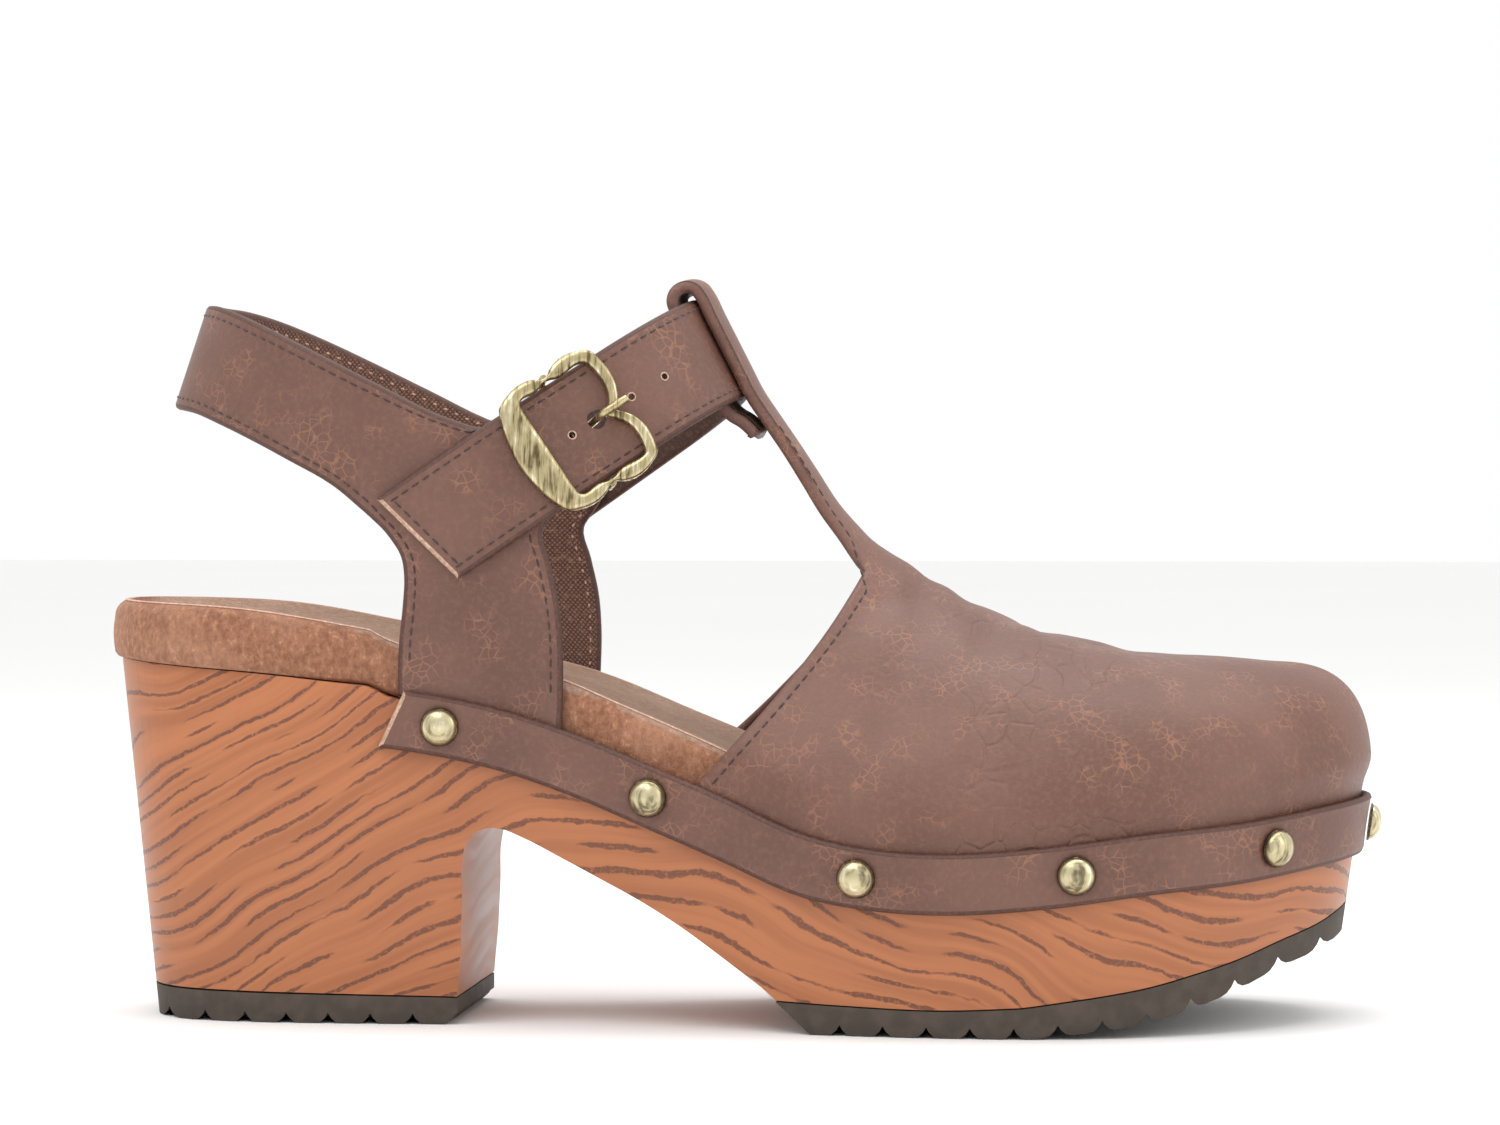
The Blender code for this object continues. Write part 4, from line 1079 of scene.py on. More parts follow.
def stitch_parts(route, length, radius):
    """Points and faces of separate stitches along a route of points and normals."""
    lengths = [0.0]
    for i in range(len(route) - 1):
        lengths.append(lengths[-1] + (route[i + 1][0] - route[i][0]).length)
    count = max(int(lengths[-1] / STITCH_PITCH), 1)
    points = []
    faces = []
    profile = ((-1.0, 0.10), (-0.80, 0.62), (-0.35, 1.0), (0.35, 1.0), (0.80, 0.62), (1.0, 0.10))
    sides = 6
    route_points = np.array([tuple(point) for point, _ in route])
    route_normals = np.array([tuple(normal) for _, normal in route])
    for stitch in range(count):
        at = lengths[-1] * (stitch + 0.5) / count
        ends = []
        for place in (at - length / 2.0, at, at + length / 2.0):
            ends.append(Vector([np.interp(place, lengths, route_points[:, axis]) for axis in range(3)]))
        normal = Vector([np.interp(at, lengths, route_normals[:, axis]) for axis in range(3)]).normalized()
        along = (ends[2] - ends[0]).normalized()
        side = along.cross(normal).normalized()
        first = len(points)
        for share, swell in profile:
            middle = ends[1] + along * share * length / 2.0
            for corner in range(sides):
                angle = 2.0 * math.pi * corner / sides
                spoke = side * math.cos(angle) + normal * math.sin(angle) * STITCH_FLATNESS
                points.append(middle + spoke * radius * swell)
        faces.append(tuple(first + corner for corner in reversed(range(sides))))
        faces.append(tuple(first + (len(profile) - 1) * sides + corner for corner in range(sides)))
        for ring in range(len(profile) - 1):
            for corner in range(sides):
                start = first + ring * sides + corner
                after = first + ring * sides + (corner + 1) % sides
                faces.append((start, after, after + sides, start + sides))
    return points, faces


def stitches(name, routes, shader, length=STITCH_LENGTH, radius=STITCH_RADIUS):
    """One piece with all the stitches of several routes."""
    points = []
    faces = []
    for route in routes:
        new_points, new_faces = stitch_parts(route, length, radius)
        faces += [tuple(len(points) + i for i in face) for face in new_faces]
        points += new_points
    return new_piece(name, points, faces, (shader,))


# Materials

class Shader:
    """A procedural material that is put together node by node."""

    def __init__(self, name, roughness, metallic=0.0, **settings):
        self.material = bpy.data.materials.new(name)
        self.material.use_nodes = True
        self.tree = self.material.node_tree
        self.surface = self.tree.nodes["Principled BSDF"]
        self.surface.inputs["Roughness"].default_value = roughness
        self.surface.inputs["Metallic"].default_value = metallic
        for socket, value in settings.items():
            self.surface.inputs[socket.replace("_", " ")].default_value = value
        self.place = self.node("ShaderNodeTexCoord").outputs["Object"]

    def node(self, kind, **values):
        made = self.tree.nodes.new(kind)
        for name, value in values.items():
            setattr(made, name, value)
        return made

    def feed(self, socket, value):
        if isinstance(value, bpy.types.NodeSocket):
            self.tree.links.new(value, socket)
        elif isinstance(value, tuple) and len(value) == 3 and socket.type == "RGBA":
            socket.default_value = (*value, 1.0)
        else:
            socket.default_value = value

    def math(self, operation, *values):
        made = self.node("ShaderNodeMath", operation=operation)
        for socket, value in zip(made.inputs, values):
            self.feed(socket, value)
        return made.outputs[0]

    def between(self, value, low, high, start=0.0, end=1.0):
        """A soft step from start to end while the value goes from low to high."""
        made = self.node("ShaderNodeMapRange", interpolation_type="SMOOTHSTEP")
        for socket, number in zip(made.inputs, (value, low, high, start, end)):
            self.feed(socket, number)
        return made.outputs[0]

    def noise(self, scale, detail=3.0, place=None, roughness=0.5):
        made = self.node("ShaderNodeTexNoise")
        self.feed(made.inputs["Vector"], place or self.place)
        self.feed(made.inputs["Scale"], scale)
        self.feed(made.inputs["Detail"], detail)
        self.feed(made.inputs["Roughness"], roughness)
        return made.outputs["Fac"]

    def cells(self, scale, feature="F1", place=None):
        made = self.node("ShaderNodeTexVoronoi", feature=feature)
        self.feed(made.inputs["Vector"], place or self.place)
        self.feed(made.inputs["Scale"], scale)
        return made.outputs["Distance"]

    def warped(self, scale, amount):
        """Coordinates pushed about by a noise, in metres."""
        made = self.node("ShaderNodeTexNoise")
        self.feed(made.inputs["Vector"], self.place)
        self.feed(made.inputs["Scale"], scale)
        self.feed(made.inputs["Detail"], 2.0)
        shift = self.node("ShaderNodeVectorMath", operation="MULTIPLY_ADD")
        self.feed(shift.inputs[0], made.outputs["Color"])
        self.feed(shift.inputs[1], (amount, amount, amount))
        self.feed(shift.inputs[2], self.place)
        return shift.outputs[0]

    def stretched(self, x, y, z, place=None):
        made = self.node("ShaderNodeVectorMath", operation="MULTIPLY")
        self.feed(made.inputs[0], place or self.place)
        self.feed(made.inputs[1], (x, y, z))
        return made.outputs[0]

    def blend(self, share, first, second):
        made = self.node("ShaderNodeMix", data_type="RGBA")
        self.feed(made.inputs[0], share)
        self.feed(made.inputs[6], first)
        self.feed(made.inputs[7], second)
        return made.outputs[2]

    def axes(self, socket=None):
        made = self.node("ShaderNodeSeparateXYZ")
        self.feed(made.inputs[0], socket or self.place)
        return made.outputs

    def bump(self, height, strength, distance, under=None):
        made = self.node("ShaderNodeBump")
        self.feed(made.inputs["Height"], height)
        self.feed(made.inputs["Strength"], strength)
        self.feed(made.inputs["Distance"], distance)
        if under is not None:
            self.feed(made.inputs["Normal"], under)
        return made.outputs["Normal"]

    def finish(self, colour=None, roughness=None, normal=None):
        for name, value in (("Base Color", colour), ("Roughness", roughness), ("Normal", normal)):
            if value is not None:
                self.feed(self.surface.inputs[name], value)
        return self.material


def leather(name, base, dark, light, fleck, wrinkles=0.0):
    """Brown synthetic leather: soft patches, fine crackle with reddish flecks, pebbled grain."""
    shader = Shader(name, 0.5, Coat_Weight=0.10, Coat_Roughness=0.42, Specular_IOR_Level=0.45)
    patches = shader.noise(34.0, 4.0)
    colour = shader.blend(shader.between(patches, 0.36, 0.66), dark, base)
    mottle = shader.noise(900.0, 3.0, roughness=0.65)
    colour = shader.blend(shader.between(mottle, 0.42, 0.72, 0.0, 0.55), colour, light)
    warped = shader.warped(260.0, 0.0016)
    crackle = shader.cells(520.0, "DISTANCE_TO_EDGE", warped)
    lines = shader.between(crackle, 0.015, 0.085, 1.0, 0.0)
    where = shader.between(shader.noise(120.0, 3.0), 0.47, 0.66)
    flecks = shader.math("MULTIPLY", shader.math("MULTIPLY", lines, where), 0.62)
    colour = shader.blend(flecks, colour, fleck)
    pebbles = shader.cells(1050.0, "SMOOTH_F1", warped)
    grain = shader.math("ADD", pebbles, shader.math("MULTIPLY", lines, -0.35))
    grain = shader.math("ADD", grain, shader.math("MULTIPLY", shader.noise(3200.0, 2.0), 0.35))
    normal = shader.bump(grain, 0.30, 0.00022)
    if wrinkles:
        across = shader.stretched(1.0, 0.35, 1.0, shader.warped(60.0, 0.010))
        folds = shader.cells(190.0, "DISTANCE_TO_EDGE", across)
        x = shader.axes()[0]
        zone = shader.math("MULTIPLY", shader.between(x, 0.118, 0.140), shader.between(x, 0.185, 0.160))
        zone = shader.math("MULTIPLY", zone, shader.between(shader.noise(45.0, 2.0), 0.42, 0.60))
        height = shader.math("MULTIPLY", shader.between(folds, 0.0, 0.10), zone)
        normal = shader.bump(height, wrinkles, 0.0004, normal)
    rough = shader.between(mottle, 0.3, 0.7, 0.44, 0.58)
    return shader.finish(colour, rough, normal)


def edge_paint(name, base, light):
    shader = Shader(name, 0.6)
    fibres = shader.noise(1400.0, 3.0)
    colour = shader.blend(shader.between(fibres, 0.40, 0.70), base, light)
    rough = shader.between(fibres, 0.3, 0.7, 0.5, 0.7)
    return shader.finish(colour, rough, shader.bump(fibres, 0.4, 0.00015))


def woven(name, base, dark, light):
    """Twill lining: two sets of threads that cross on the slant."""
    shader = Shader(name, 0.8, Sheen_Weight=0.15, Sheen_Roughness=0.5)
    axes = shader.axes()
    along = shader.math("ADD", axes[0], shader.math("MULTIPLY", shader.math("ABSOLUTE", axes[1]), 0.8))
    turns = 2.0 * math.pi / WEAVE_PITCH
    one = shader.math("SINE", shader.math("MULTIPLY", shader.math("ADD", along, axes[2]), turns))
    two = shader.math("SINE", shader.math("MULTIPLY", shader.math("SUBTRACT", along, axes[2]), turns))
    threads = shader.math("MULTIPLY", shader.math("ADD", one, 1.0), shader.math("ADD", two, 1.0))
    colour = shader.blend(shader.between(threads, 0.15, 1.6), dark, base)
    colour = shader.blend(shader.between(shader.noise(900.0), 0.5, 0.8, 0.0, 0.6), colour, light)
    return shader.finish(colour, None, shader.bump(threads, 0.5, 0.00012))


def suede(name, base, dark, light):
    """Napped leather: short fibres that catch the light in small tufts."""
    shader = Shader(name, 0.95, Sheen_Weight=0.30, Sheen_Roughness=0.45,
                    Sheen_Tint=(0.9, 0.62, 0.45, 1.0))
    tufts = shader.noise(900.0, 4.0, shader.stretched(1.0, 1.0, 0.7), 0.7)
    brushed = shader.noise(70.0, 3.0)
    colour = shader.blend(shader.between(tufts, 0.34, 0.60), dark, base)
    colour = shader.blend(shader.between(tufts, 0.56, 0.74), colour, light)
    colour = shader.blend(shader.between(brushed, 0.42, 0.68, 0.0, 0.28), colour, light)
    nap = shader.math("ADD", tufts, shader.math("MULTIPLY", shader.noise(2600.0, 2.0), 0.6))
    return shader.finish(colour, None, shader.bump(nap, 0.75, 0.0005))


def wood_look(name):
    """Moulded platform with printed and pressed grain that arcs over the heel and falls to the toe."""
    shader = Shader(name, 0.42, Coat_Weight=0.12, Coat_Roughness=0.30, Specular_IOR_Level=0.45)
    axes = shader.axes()
    turned = shader.math("SUBTRACT", axes[0], shader.math("MULTIPLY", axes[2], 0.30))
    low = shader.node("ShaderNodeTexNoise")
    shader.feed(low.inputs["Vector"], shader.place)
    shader.feed(low.inputs["Scale"], 26.0)
    shader.feed(low.inputs["Detail"], 1.0)
    waves = shader.math("MULTIPLY", shader.math("SUBTRACT", low.outputs["Fac"], 0.5), 0.020)
    share = shader.between(turned, -0.060, 0.220)
    share.node.interpolation_type = "LINEAR"
    curve = shader.node("ShaderNodeFloatCurve")
    shader.feed(curve.inputs["Value"], share)
    points = curve.mapping.curves[0].points
    # Height of a grain line along the sole, as (place from heel to toe, share of 0.1 m)
    route = ((0.0, 0.02), (0.06, 0.06), (0.15, 0.21), (0.24, 0.40), (0.32, 0.50), (0.40, 0.535),
             (0.48, 0.50), (0.60, 0.38), (0.75, 0.21), (0.88, 0.10), (1.0, 0.04))
    for x, y in route[1:-1]:
        points.new(x, y)
    points[0].location = route[0]
    points[-1].location = route[-1]
    curve.mapping.update()
    rise = shader.math("MULTIPLY", curve.outputs[0], 0.1)
    level = shader.math("ADD", shader.math("SUBTRACT", axes[2], rise), waves)
    rows = shader.math("MULTIPLY", level, 1.0 / GRAIN_PITCH)
    ragged = shader.math("MULTIPLY", shader.math("SUBTRACT", shader.noise(420.0, 3.0), 0.5), 0.34)
    rows = shader.math("ADD", rows, ragged)
    number = shader.math("FLOOR", rows)
    off = shader.math("ABSOLUTE", shader.math("SUBTRACT", shader.math("FRACT", rows), 0.5))
    seat = shader.node("ShaderNodeCombineXYZ")
    shader.feed(seat.inputs[0], shader.math("MULTIPLY", axes[0], 62.0))
    shader.feed(seat.inputs[1], shader.math("MULTIPLY", number, 7.31))
    shader.feed(seat.inputs[2], shader.math("MULTIPLY", axes[1], 30.0))
    run = shader.noise(1.0, 2.0, seat.outputs[0])
    width = shader.between(run, 0.36, 0.58, 0.035, 0.125)
    line = shader.between(shader.math("SUBTRACT", off, width), -0.035, 0.035, 1.0, 0.0)
    line = shader.math("MULTIPLY", line, shader.between(run, 0.38, 0.47))
    line = shader.math("MULTIPLY", line, shader.between(shader.noise(1500.0, 2.0), 0.30, 0.50, 0.45, 1.0))
    facing = shader.axes(shader.node("ShaderNodeNewGeometry").outputs["Normal"])
    forward = shader.between(facing[0], 0.55, 0.80)
    breast = shader.math("MULTIPLY", forward, shader.between(axes[0], 0.110, 0.090))
    line = shader.math("MULTIPLY", line, shader.math("SUBTRACT", 1.0, breast))
    streak = shader.node("ShaderNodeCombineXYZ")
    shader.feed(streak.inputs[0], shader.math("MULTIPLY", axes[0], 14.0))
    shader.feed(streak.inputs[1], shader.math("MULTIPLY", level, 420.0))
    shader.feed(streak.inputs[2], shader.math("MULTIPLY", axes[1], 14.0))
    streaks = shader.noise(1.0, 3.0, streak.outputs[0])
    share = shader.between(streaks, 0.30, 0.70)
    colour = shader.blend(share, (0.335, 0.112, 0.040), (0.430, 0.152, 0.058))
    colour = shader.blend(shader.math("MULTIPLY", line, 0.82), colour, (0.105, 0.033, 0.018))
    height = shader.math("SUBTRACT", shader.math("MULTIPLY", streaks, 0.12), line)
    rough = shader.between(streaks, 0.3, 0.7, 0.38, 0.50)
    return shader.finish(colour, rough, shader.bump(height, 0.5, 0.00025))


def rubber(name):
    shader = Shader(name, 0.72, Specular_IOR_Level=0.35)
    dust = shader.noise(260.0, 4.0)
    colour = shader.blend(shader.between(dust, 0.35, 0.70), (0.056, 0.042, 0.033), (0.082, 0.064, 0.051))
    return shader.finish(colour, shader.between(dust, 0.3, 0.7, 0.62, 0.80),
                         shader.bump(shader.noise(2400.0, 3.0), 0.25, 0.0002))


def brass(name, base, patina, shine, brush=(1.0, 1.0, 1.0)):
    """Antique brass: warm metal with brushed streaks and dark patina."""
    shader = Shader(name, 0.34, metallic=1.0)
    streaks = shader.noise(1.0, 3.0, shader.stretched(*(1400.0 * share for share in brush)), 0.6)
    clouds = shader.noise(170.0, 3.0)
    mixed = shader.math("ADD", shader.math("MULTIPLY", streaks, 0.6), shader.math("MULTIPLY", clouds, 0.4))
    colour = shader.blend(shader.between(mixed, 0.36, 0.50), patina, base)
    colour = shader.blend(shader.between(mixed, 0.50, 0.66), colour, shine)
    rough = shader.between(mixed, 0.35, 0.65, 0.42, 0.24)
    return shader.finish(colour, rough, shader.bump(streaks, 0.12, 0.0001))


def thread(name, base, light):
    shader = Shader(name, 0.7, Sheen_Weight=0.2, Sheen_Roughness=0.5)
    twist = shader.noise(2600.0, 2.0)
    return shader.finish(shader.blend(shader.between(twist, 0.4, 0.7), base, light), None,
                         shader.bump(twist, 0.4, 0.0001))


# Pieces

CREASES = Table(
    "x across turn length width depth",
    (0.1235, -0.004, 82.0, 0.0200, 0.0026, 0.00055),
    (0.1310, 0.006, 97.0, 0.0240, 0.0030, 0.00050),
    (0.1385, -0.008, 76.0, 0.0260, 0.0030, 0.00065),
    (0.1470, 0.003, 100.0, 0.0280, 0.0034, 0.00055),
    (0.1555, -0.011, 80.0, 0.0220, 0.0030, 0.00045),
    (0.1650, 0.004, 94.0, 0.0240, 0.0036, 0.00040),
    (0.1130, -0.020, 40.0, 0.0140, 0.0030, 0.00040),
    (0.1215, -0.028, 62.0, 0.0140, 0.0036, 0.00040),
)


def crease_depth(point):
    """How far the flexed leather is pushed in at a point of the instep, seen from above."""
    depth = 0.0
    for x, across, turn, length, width, deep in CREASES.rows:
        angle = math.radians(turn)
        dx = point.x - x
        dy = point.y - across
        along = dx * math.cos(angle) + dy * math.sin(angle)
        aside = -dx * math.sin(angle) + dy * math.cos(angle) + 0.12 * along * along / length
        valley = math.exp(-(aside / width) ** 2)
        ridge = 0.45 * math.exp(-((aside - 1.7 * width) / width) ** 2)
        depth += deep * (valley - ridge) * math.exp(-(along / length) ** 2)
    return depth


def cut_block(name, shader, heights, section, width, segments):
    """The sole's outline between two heights, cut to a side profile, with softened edges."""
    block = sole_block(name, shader, *heights)
    profile = prism(f"{name}_profile", section, BALL_WIDTH, shader)
    boolean(block, profile, "INTERSECT")
    settle(block, [profile])
    bevel(block, width, segments)
    settle(block)
    return block


def build_platform(shader):
    back = HEEL_BACK_X - RAND_WIDTH
    front = x_at(1.0) + RAND_WIDTH
    heel_front = x_at(HEEL_FRONT_ALONG)
    breast = [[Vector((x_at(along), 0.0, HEEL_HEIGHT * height))] for along, height in BREAST.rows]
    section = [(back, heel_rubber_top(back) + GAP), (heel_front, heel_rubber_top(heel_front) + GAP)]
    section += [(row[0].x, row[0].z) for row in refine(breast, 4)]
    fore = spaced(x_at(ARCH_END_ALONG), x_at(1.0), PROFILE_STEPS // 2)
    section += [(x, fore_rubber_top(x) + GAP) for x in fore]
    section += [(front, fore_rubber_top(front) + GAP), (front, seat_z(front))]
    section += [(x, seat_z(x)) for x in spaced(x_at(1.0), HEEL_BACK_X, PROFILE_STEPS)]
    section.append((back, seat_z(HEEL_BACK_X)))
    heights = (-FORE_RUBBER, HEEL_HEIGHT + FOOTBED_THICKNESS)
    return cut_block("platform_wood", shader, heights, section, WOOD_BEVEL, 3)


def build_heel_toplift(shader):
    front = x_at(HEEL_FRONT_ALONG)
    back = HEEL_BACK_X - RAND_WIDTH
    first = math.floor(back / LUG_PITCH)
    last = math.floor(front / LUG_PITCH - 0.5)
    section = tread([LUG_PITCH * i for i in range(first, last + 1)], lambda x: 0.0)
    section += [(front, LUG_DEPTH), (front, heel_rubber_top(front)), (section[0][0], heel_rubber_top(back))]
    heights = (-FORE_RUBBER, HEEL_RUBBER + LUG_PITCH)
    return cut_block("toplift_rubber", shader, heights, section, RUBBER_BEVEL, 2)


def build_forefoot_outsole(shader):
    rear = x_at(ARCH_END_ALONG)
    front = x_at(1.0) + LUG_PITCH
    rear_centre = x_at(FORE_LUG_ALONG) - LUG_PITCH
    count = math.ceil((front - rear_centre) / LUG_PITCH)
    bottom = tread([rear_centre + LUG_PITCH * i for i in range(count)], spring_z)
    bottom = [point for point in bottom if point[0] >= rear_centre - LUG_PITCH * 0.18 - 1e-6]
    section = [(rear, fore_rubber_top(rear))] + bottom
    section.append((section[-1][0], fore_rubber_top(front) + LUG_DEPTH))
    section += [(x, fore_rubber_top(x)) for x in spaced(x_at(1.0), rear, PROFILE_STEPS // 2)[:-1]]
    heights = (-FORE_RUBBER, PLATFORM_HEIGHT)
    return cut_block("outsole_rubber", shader, heights, section, RUBBER_BEVEL, 2)


def rim_drop(x, drop):
    """Height on the rand at a share of its width below the rim."""
    slope = (rim_z(x + RAND_WIDTH) - rim_z(x - RAND_WIDTH)) / (2.0 * RAND_WIDTH)
    return rim_z(x) - RAND_WIDTH * math.hypot(1.0, slope) * drop


def build_rand(shaders):
    """Strip around the platform's rim, drawn in a little under each stud."""
    drops = [0.0, 0.10, 0.20, 0.32, 0.44, 0.56, 0.68, 0.80, 0.90, 1.0]
    studs = [sole_side(place, rim_drop(plan_point(place).x, 0.5)) for place in stud_places()]
    points = []
    normals = []
    walls = []
    for i in range(RAND_STATIONS + 1):
        for drop in drops:
            end = mix(RAND_TOP_ALONG, RAND_TIP_ALONG, drop)
            place = mix(edge_place(end), edge_place(end, medial=True), i / RAND_STATIONS)
            z = rim_drop(plan_point(place).x, drop)
            point = sole_side(place, z, GAP + RAND_THICKNESS)
            near = min((point - stud).length for stud in studs)
            dip = STUD_DIP * math.exp(-(max(near - STUD_RADIUS * 0.8, 0.0) / STUD_DIP_REACH) ** 2)
            points.append(point - plan_normal(place) * dip)
            normals.append(plan_normal(place))
            walls.append(RAND_THICKNESS - dip)
    columns = len(drops)
    ends = set(range(columns)) | set(range(len(points) - columns, len(points)))
    quads = grid_faces(RAND_STATIONS + 1, columns)
    return round_sheet("rand_leather", points, normals, walls, quads, shaders, lambda i: i in ends)


def build_footbed(side_shader, top_shader):
    """Padded footbed: wrapped side, rounded edge and a cupped top."""
    count = FOOTBED_STATIONS
    places = [i / count for i in range(2 * count)]
    radius = FOOTBED_EDGE_RADIUS
    ring = len(places)
    rows = [(0.0006, 0.0, None), (0.0, 0.0008, None)]
    rows += [(0.0, share, "side") for share in (0.25, 0.5, 0.75)]
    rows += [(radius * (1.0 - math.cos(math.radians(a))), radius * (1.0 - math.sin(math.radians(a))), "edge")
             for a in (0, 15, 30, 45, 60, 75, 90)]
    points = []
    for inset, height, kind in rows:
        for place in places:
            x = plan_point(place).x
            point = plan_point(place) + plan_normal(place) * (footbed_out(x) - inset)
            low = seat_z(x) + GAP
            high = footbed_top(x) - radius
            if kind == "side":
                point.z = mix(low + 0.0008, high, height)
                swell = math.sin(math.pi * height) * SIDE_SWELL
                point += plan_normal(place) * swell * footbed_swell(along_at(x))
            elif kind == "edge":
                point.z = footbed_top(x) - height
            else:
                point.z = low + height
            points.append(point)
    faces = []
    slots = []
    for row in range(len(rows) - 1):
        for i in range(ring):
            after = (i + 1) % ring
            start = row * ring
            faces.append((start + i, start + after, start + ring + after, start + ring + i))
            slots.append(0)
    for i in range(count):
        faces.append((i, i + 1, (ring - i - 1) % ring, (ring - i) % ring))
        slots.append(0)
    columns = 36
    top = (len(rows) - 1) * ring
    first = len(points)
    for i in range(count + 1):
        lateral = points[top + i]
        medial = points[top + (ring - i) % ring]
        for column in range(columns + 1):
            share = column / columns
            point = lateral.lerp(medial, share)
            hollow = 1.0 - abs(2.0 * share - 1.0) ** 2.5
            width = (medial - lateral).length / BALL_WIDTH
            depth = FOOTBED_CUP * footbed_cup(along_at(point.x)) * min(width * 2.0, 1.0)
            point.z -= depth * hollow
            points.append(point)
    top_faces = grid_faces(count + 1, columns + 1, first=first)
    faces += top_faces
    slots += [1] * len(top_faces)
    footbed = solid("footbed_suede", points, faces, side_shader, smooth_angle=80.0)
    footbed.data.materials.append(top_shader)
    limit = radius * 0.25
    for face in footbed.data.polygons:
        middle = face.center
        lateral = abs(plan_point(edge_place(along_at(middle.x), middle.y > 0.0)).y)
        inside = lateral - abs(middle.y) > radius * 0.75
        if face.normal.z > 0.6 and inside and middle.z > footbed_top(middle.x) - FOOTBED_CUP - limit:
            face.material_index = 1
    return footbed


def build_footbed_seam(shader):
    """Raised bead along the edge of the top sheet, all around the footbed; its pale colour is partly the
    seam's own and partly a painted highlight of the edge lit from above.
    """
    count = 2 * FOOTBED_STATIONS
    inset = FOOTBED_EDGE_RADIUS * SEAM_INSET_SHARE
    turn = math.asin(1.0 - SEAM_INSET_SHARE)
    points = []
    faces = []
    sides = 6
    for i in range(count):
        place = 2.0 * i / count
        normal = plan_normal(place)
        x = plan_point(place).x
        middle = plan_point(place) + normal * (footbed_out(x) - inset)
        middle.z = footbed_top(x) - FOOTBED_EDGE_RADIUS * (1.0 - math.cos(turn))
        for side in range(sides):
            angle = 2.0 * math.pi * side / sides
            rise = Vector((0.0, 0.0, SEAM_HALF_HEIGHT * math.sin(angle)))
            points.append(middle + normal * SEAM_HALF_WIDTH * math.cos(angle) + rise)
    for i in range(count):
        for side in range(sides):
            after = (side + 1) % sides
            ahead = (i + 1) % count
            faces.append((i * sides + side, ahead * sides + side, ahead * sides + after, i * sides + after))
    return solid("footbed_edge_seam_painted_highlight", points, faces, shader, smooth_angle=80.0)


def build_ankle_strap(shaders, rim_shader):
    """Strap with rolled edges, punched holes and a pointed raw end."""
    columns = 20
    half = STRAP_THICKNESS / 2.0
    nose_end = NOSE_RADIUS * (1.0 - math.cos(NOSE_TURN))
    nose = [NOSE_RADIUS * (1.0 - math.cos(NOSE_TURN * i / 24)) for i in range(1, 25)]
    lateral = [(reach, False) for reach in reversed(nose + spaced(nose_end, LATERAL_REACH, 44)[1:])]
    medial = [(reach, True) for reach in nose + spaced(nose_end, MEDIAL_REACH, 40)[1:]]
    stations = lateral + [(0.0, False)] + medial
    middle = []
    for i, (reach, inner) in enumerate(stations):
        fade = max(1.0 - i / 8.0, 0.0)
        for column in range(columns + 1):
            across = STRAP_WIDTH * (column / columns - 0.5)
            skew = TAIL_SKEW * (column / columns) * fade
            middle.append(strap_point(reach + skew, across, inner))
    quads = grid_faces(len(stations), columns + 1)
    nose_row = len(lateral) * (columns + 1) + columns // 2
    normals = outward_normals(middle, quads, nose_row, Vector((1.0, 0.0, 0.0)))
    outer = [point + normal * half for point, normal in zip(middle, normals)]
    walls = [STRAP_THICKNESS] * len(outer)
    strap = round_sheet("ankle_strap_leather", outer, normals, walls, quads, shaders, lambda i: i <= columns)
    tools = []
    rims = []
    holes = [(PRONG_HOLE_AT, PRONG_HOLE_RADIUS)] + [(length, PUNCHED_RADIUS) for length in PUNCHED_AT]
    for length, radius in holes:
        reach = BUCKLE_REACH - length
        centre = strap_point(reach, 0.0, medial=False)
        forwards = (strap_point(reach - 0.0005, 0.0, medial=False) - centre).normalized()
        upwards = (strap_point(reach, 0.0005, medial=False) - centre).normalized()
        outwards = forwards.cross(upwards)
        points, faces = tube((centre - outwards * 0.004, centre + outwards * 0.004), radius, sides=24)
        tools.append(solid(f"hole_tool_{len(tools)}", points, faces, shaders[1]))
        boolean(strap, tools[-1], "DIFFERENCE")
        if radius < PRONG_HOLE_RADIUS:
            rims.append((centre + outwards * half, forwards, upwards, outwards, radius))
    settle(strap, tools, smooth_angle=50.0)
    points = []
    faces = []
    for centre, forwards, upwards, outwards, radius in rims:
        first = len(points)
        for i in range(24):
            angle = 2.0 * math.pi * i / 24
            spoke = forwards * math.cos(angle) + upwards * math.sin(angle)
            for side in range(6):
                turn = 2.0 * math.pi * side / 6
                bead = spoke * HOLE_RIM_WIDTH * math.cos(turn) + outwards * HOLE_RIM_HEIGHT * math.sin(turn)
                points.append(centre + spoke * (radius + HOLE_RIM_GAP) + bead)
        for i in range(24):
            for side in range(6):
                start = first + i * 6
                ahead = first + (i + 1) % 24 * 6
                faces.append((start + side, ahead + side, ahead + (side + 1) % 6, start + (side + 1) % 6))
    rim = solid("strap_hole_rims", points, faces, rim_shader, smooth_angle=80.0)
    rows = [outer[i * (columns + 1):(i + 1) * (columns + 1)] for i in range(len(stations))]
    row_normals = [normals[i * (columns + 1):(i + 1) * (columns + 1)] for i in range(len(stations))]
    return strap, rim, rows, row_normals


def edge_routes(rows, normals, distance):
    """Stitch routes along both long edges of a band."""
    first = inset_route(rows, normals, distance)
    last = inset_route([row[::-1] for row in rows], [row[::-1] for row in normals], distance)
    return first, last


def turned(rows):
    """The same grid with its rows and columns exchanged."""
    return [list(column) for column in zip(*rows)]


def rows_of(items, columns):
    return [items[i:i + columns] for i in range(0, len(items), columns)]


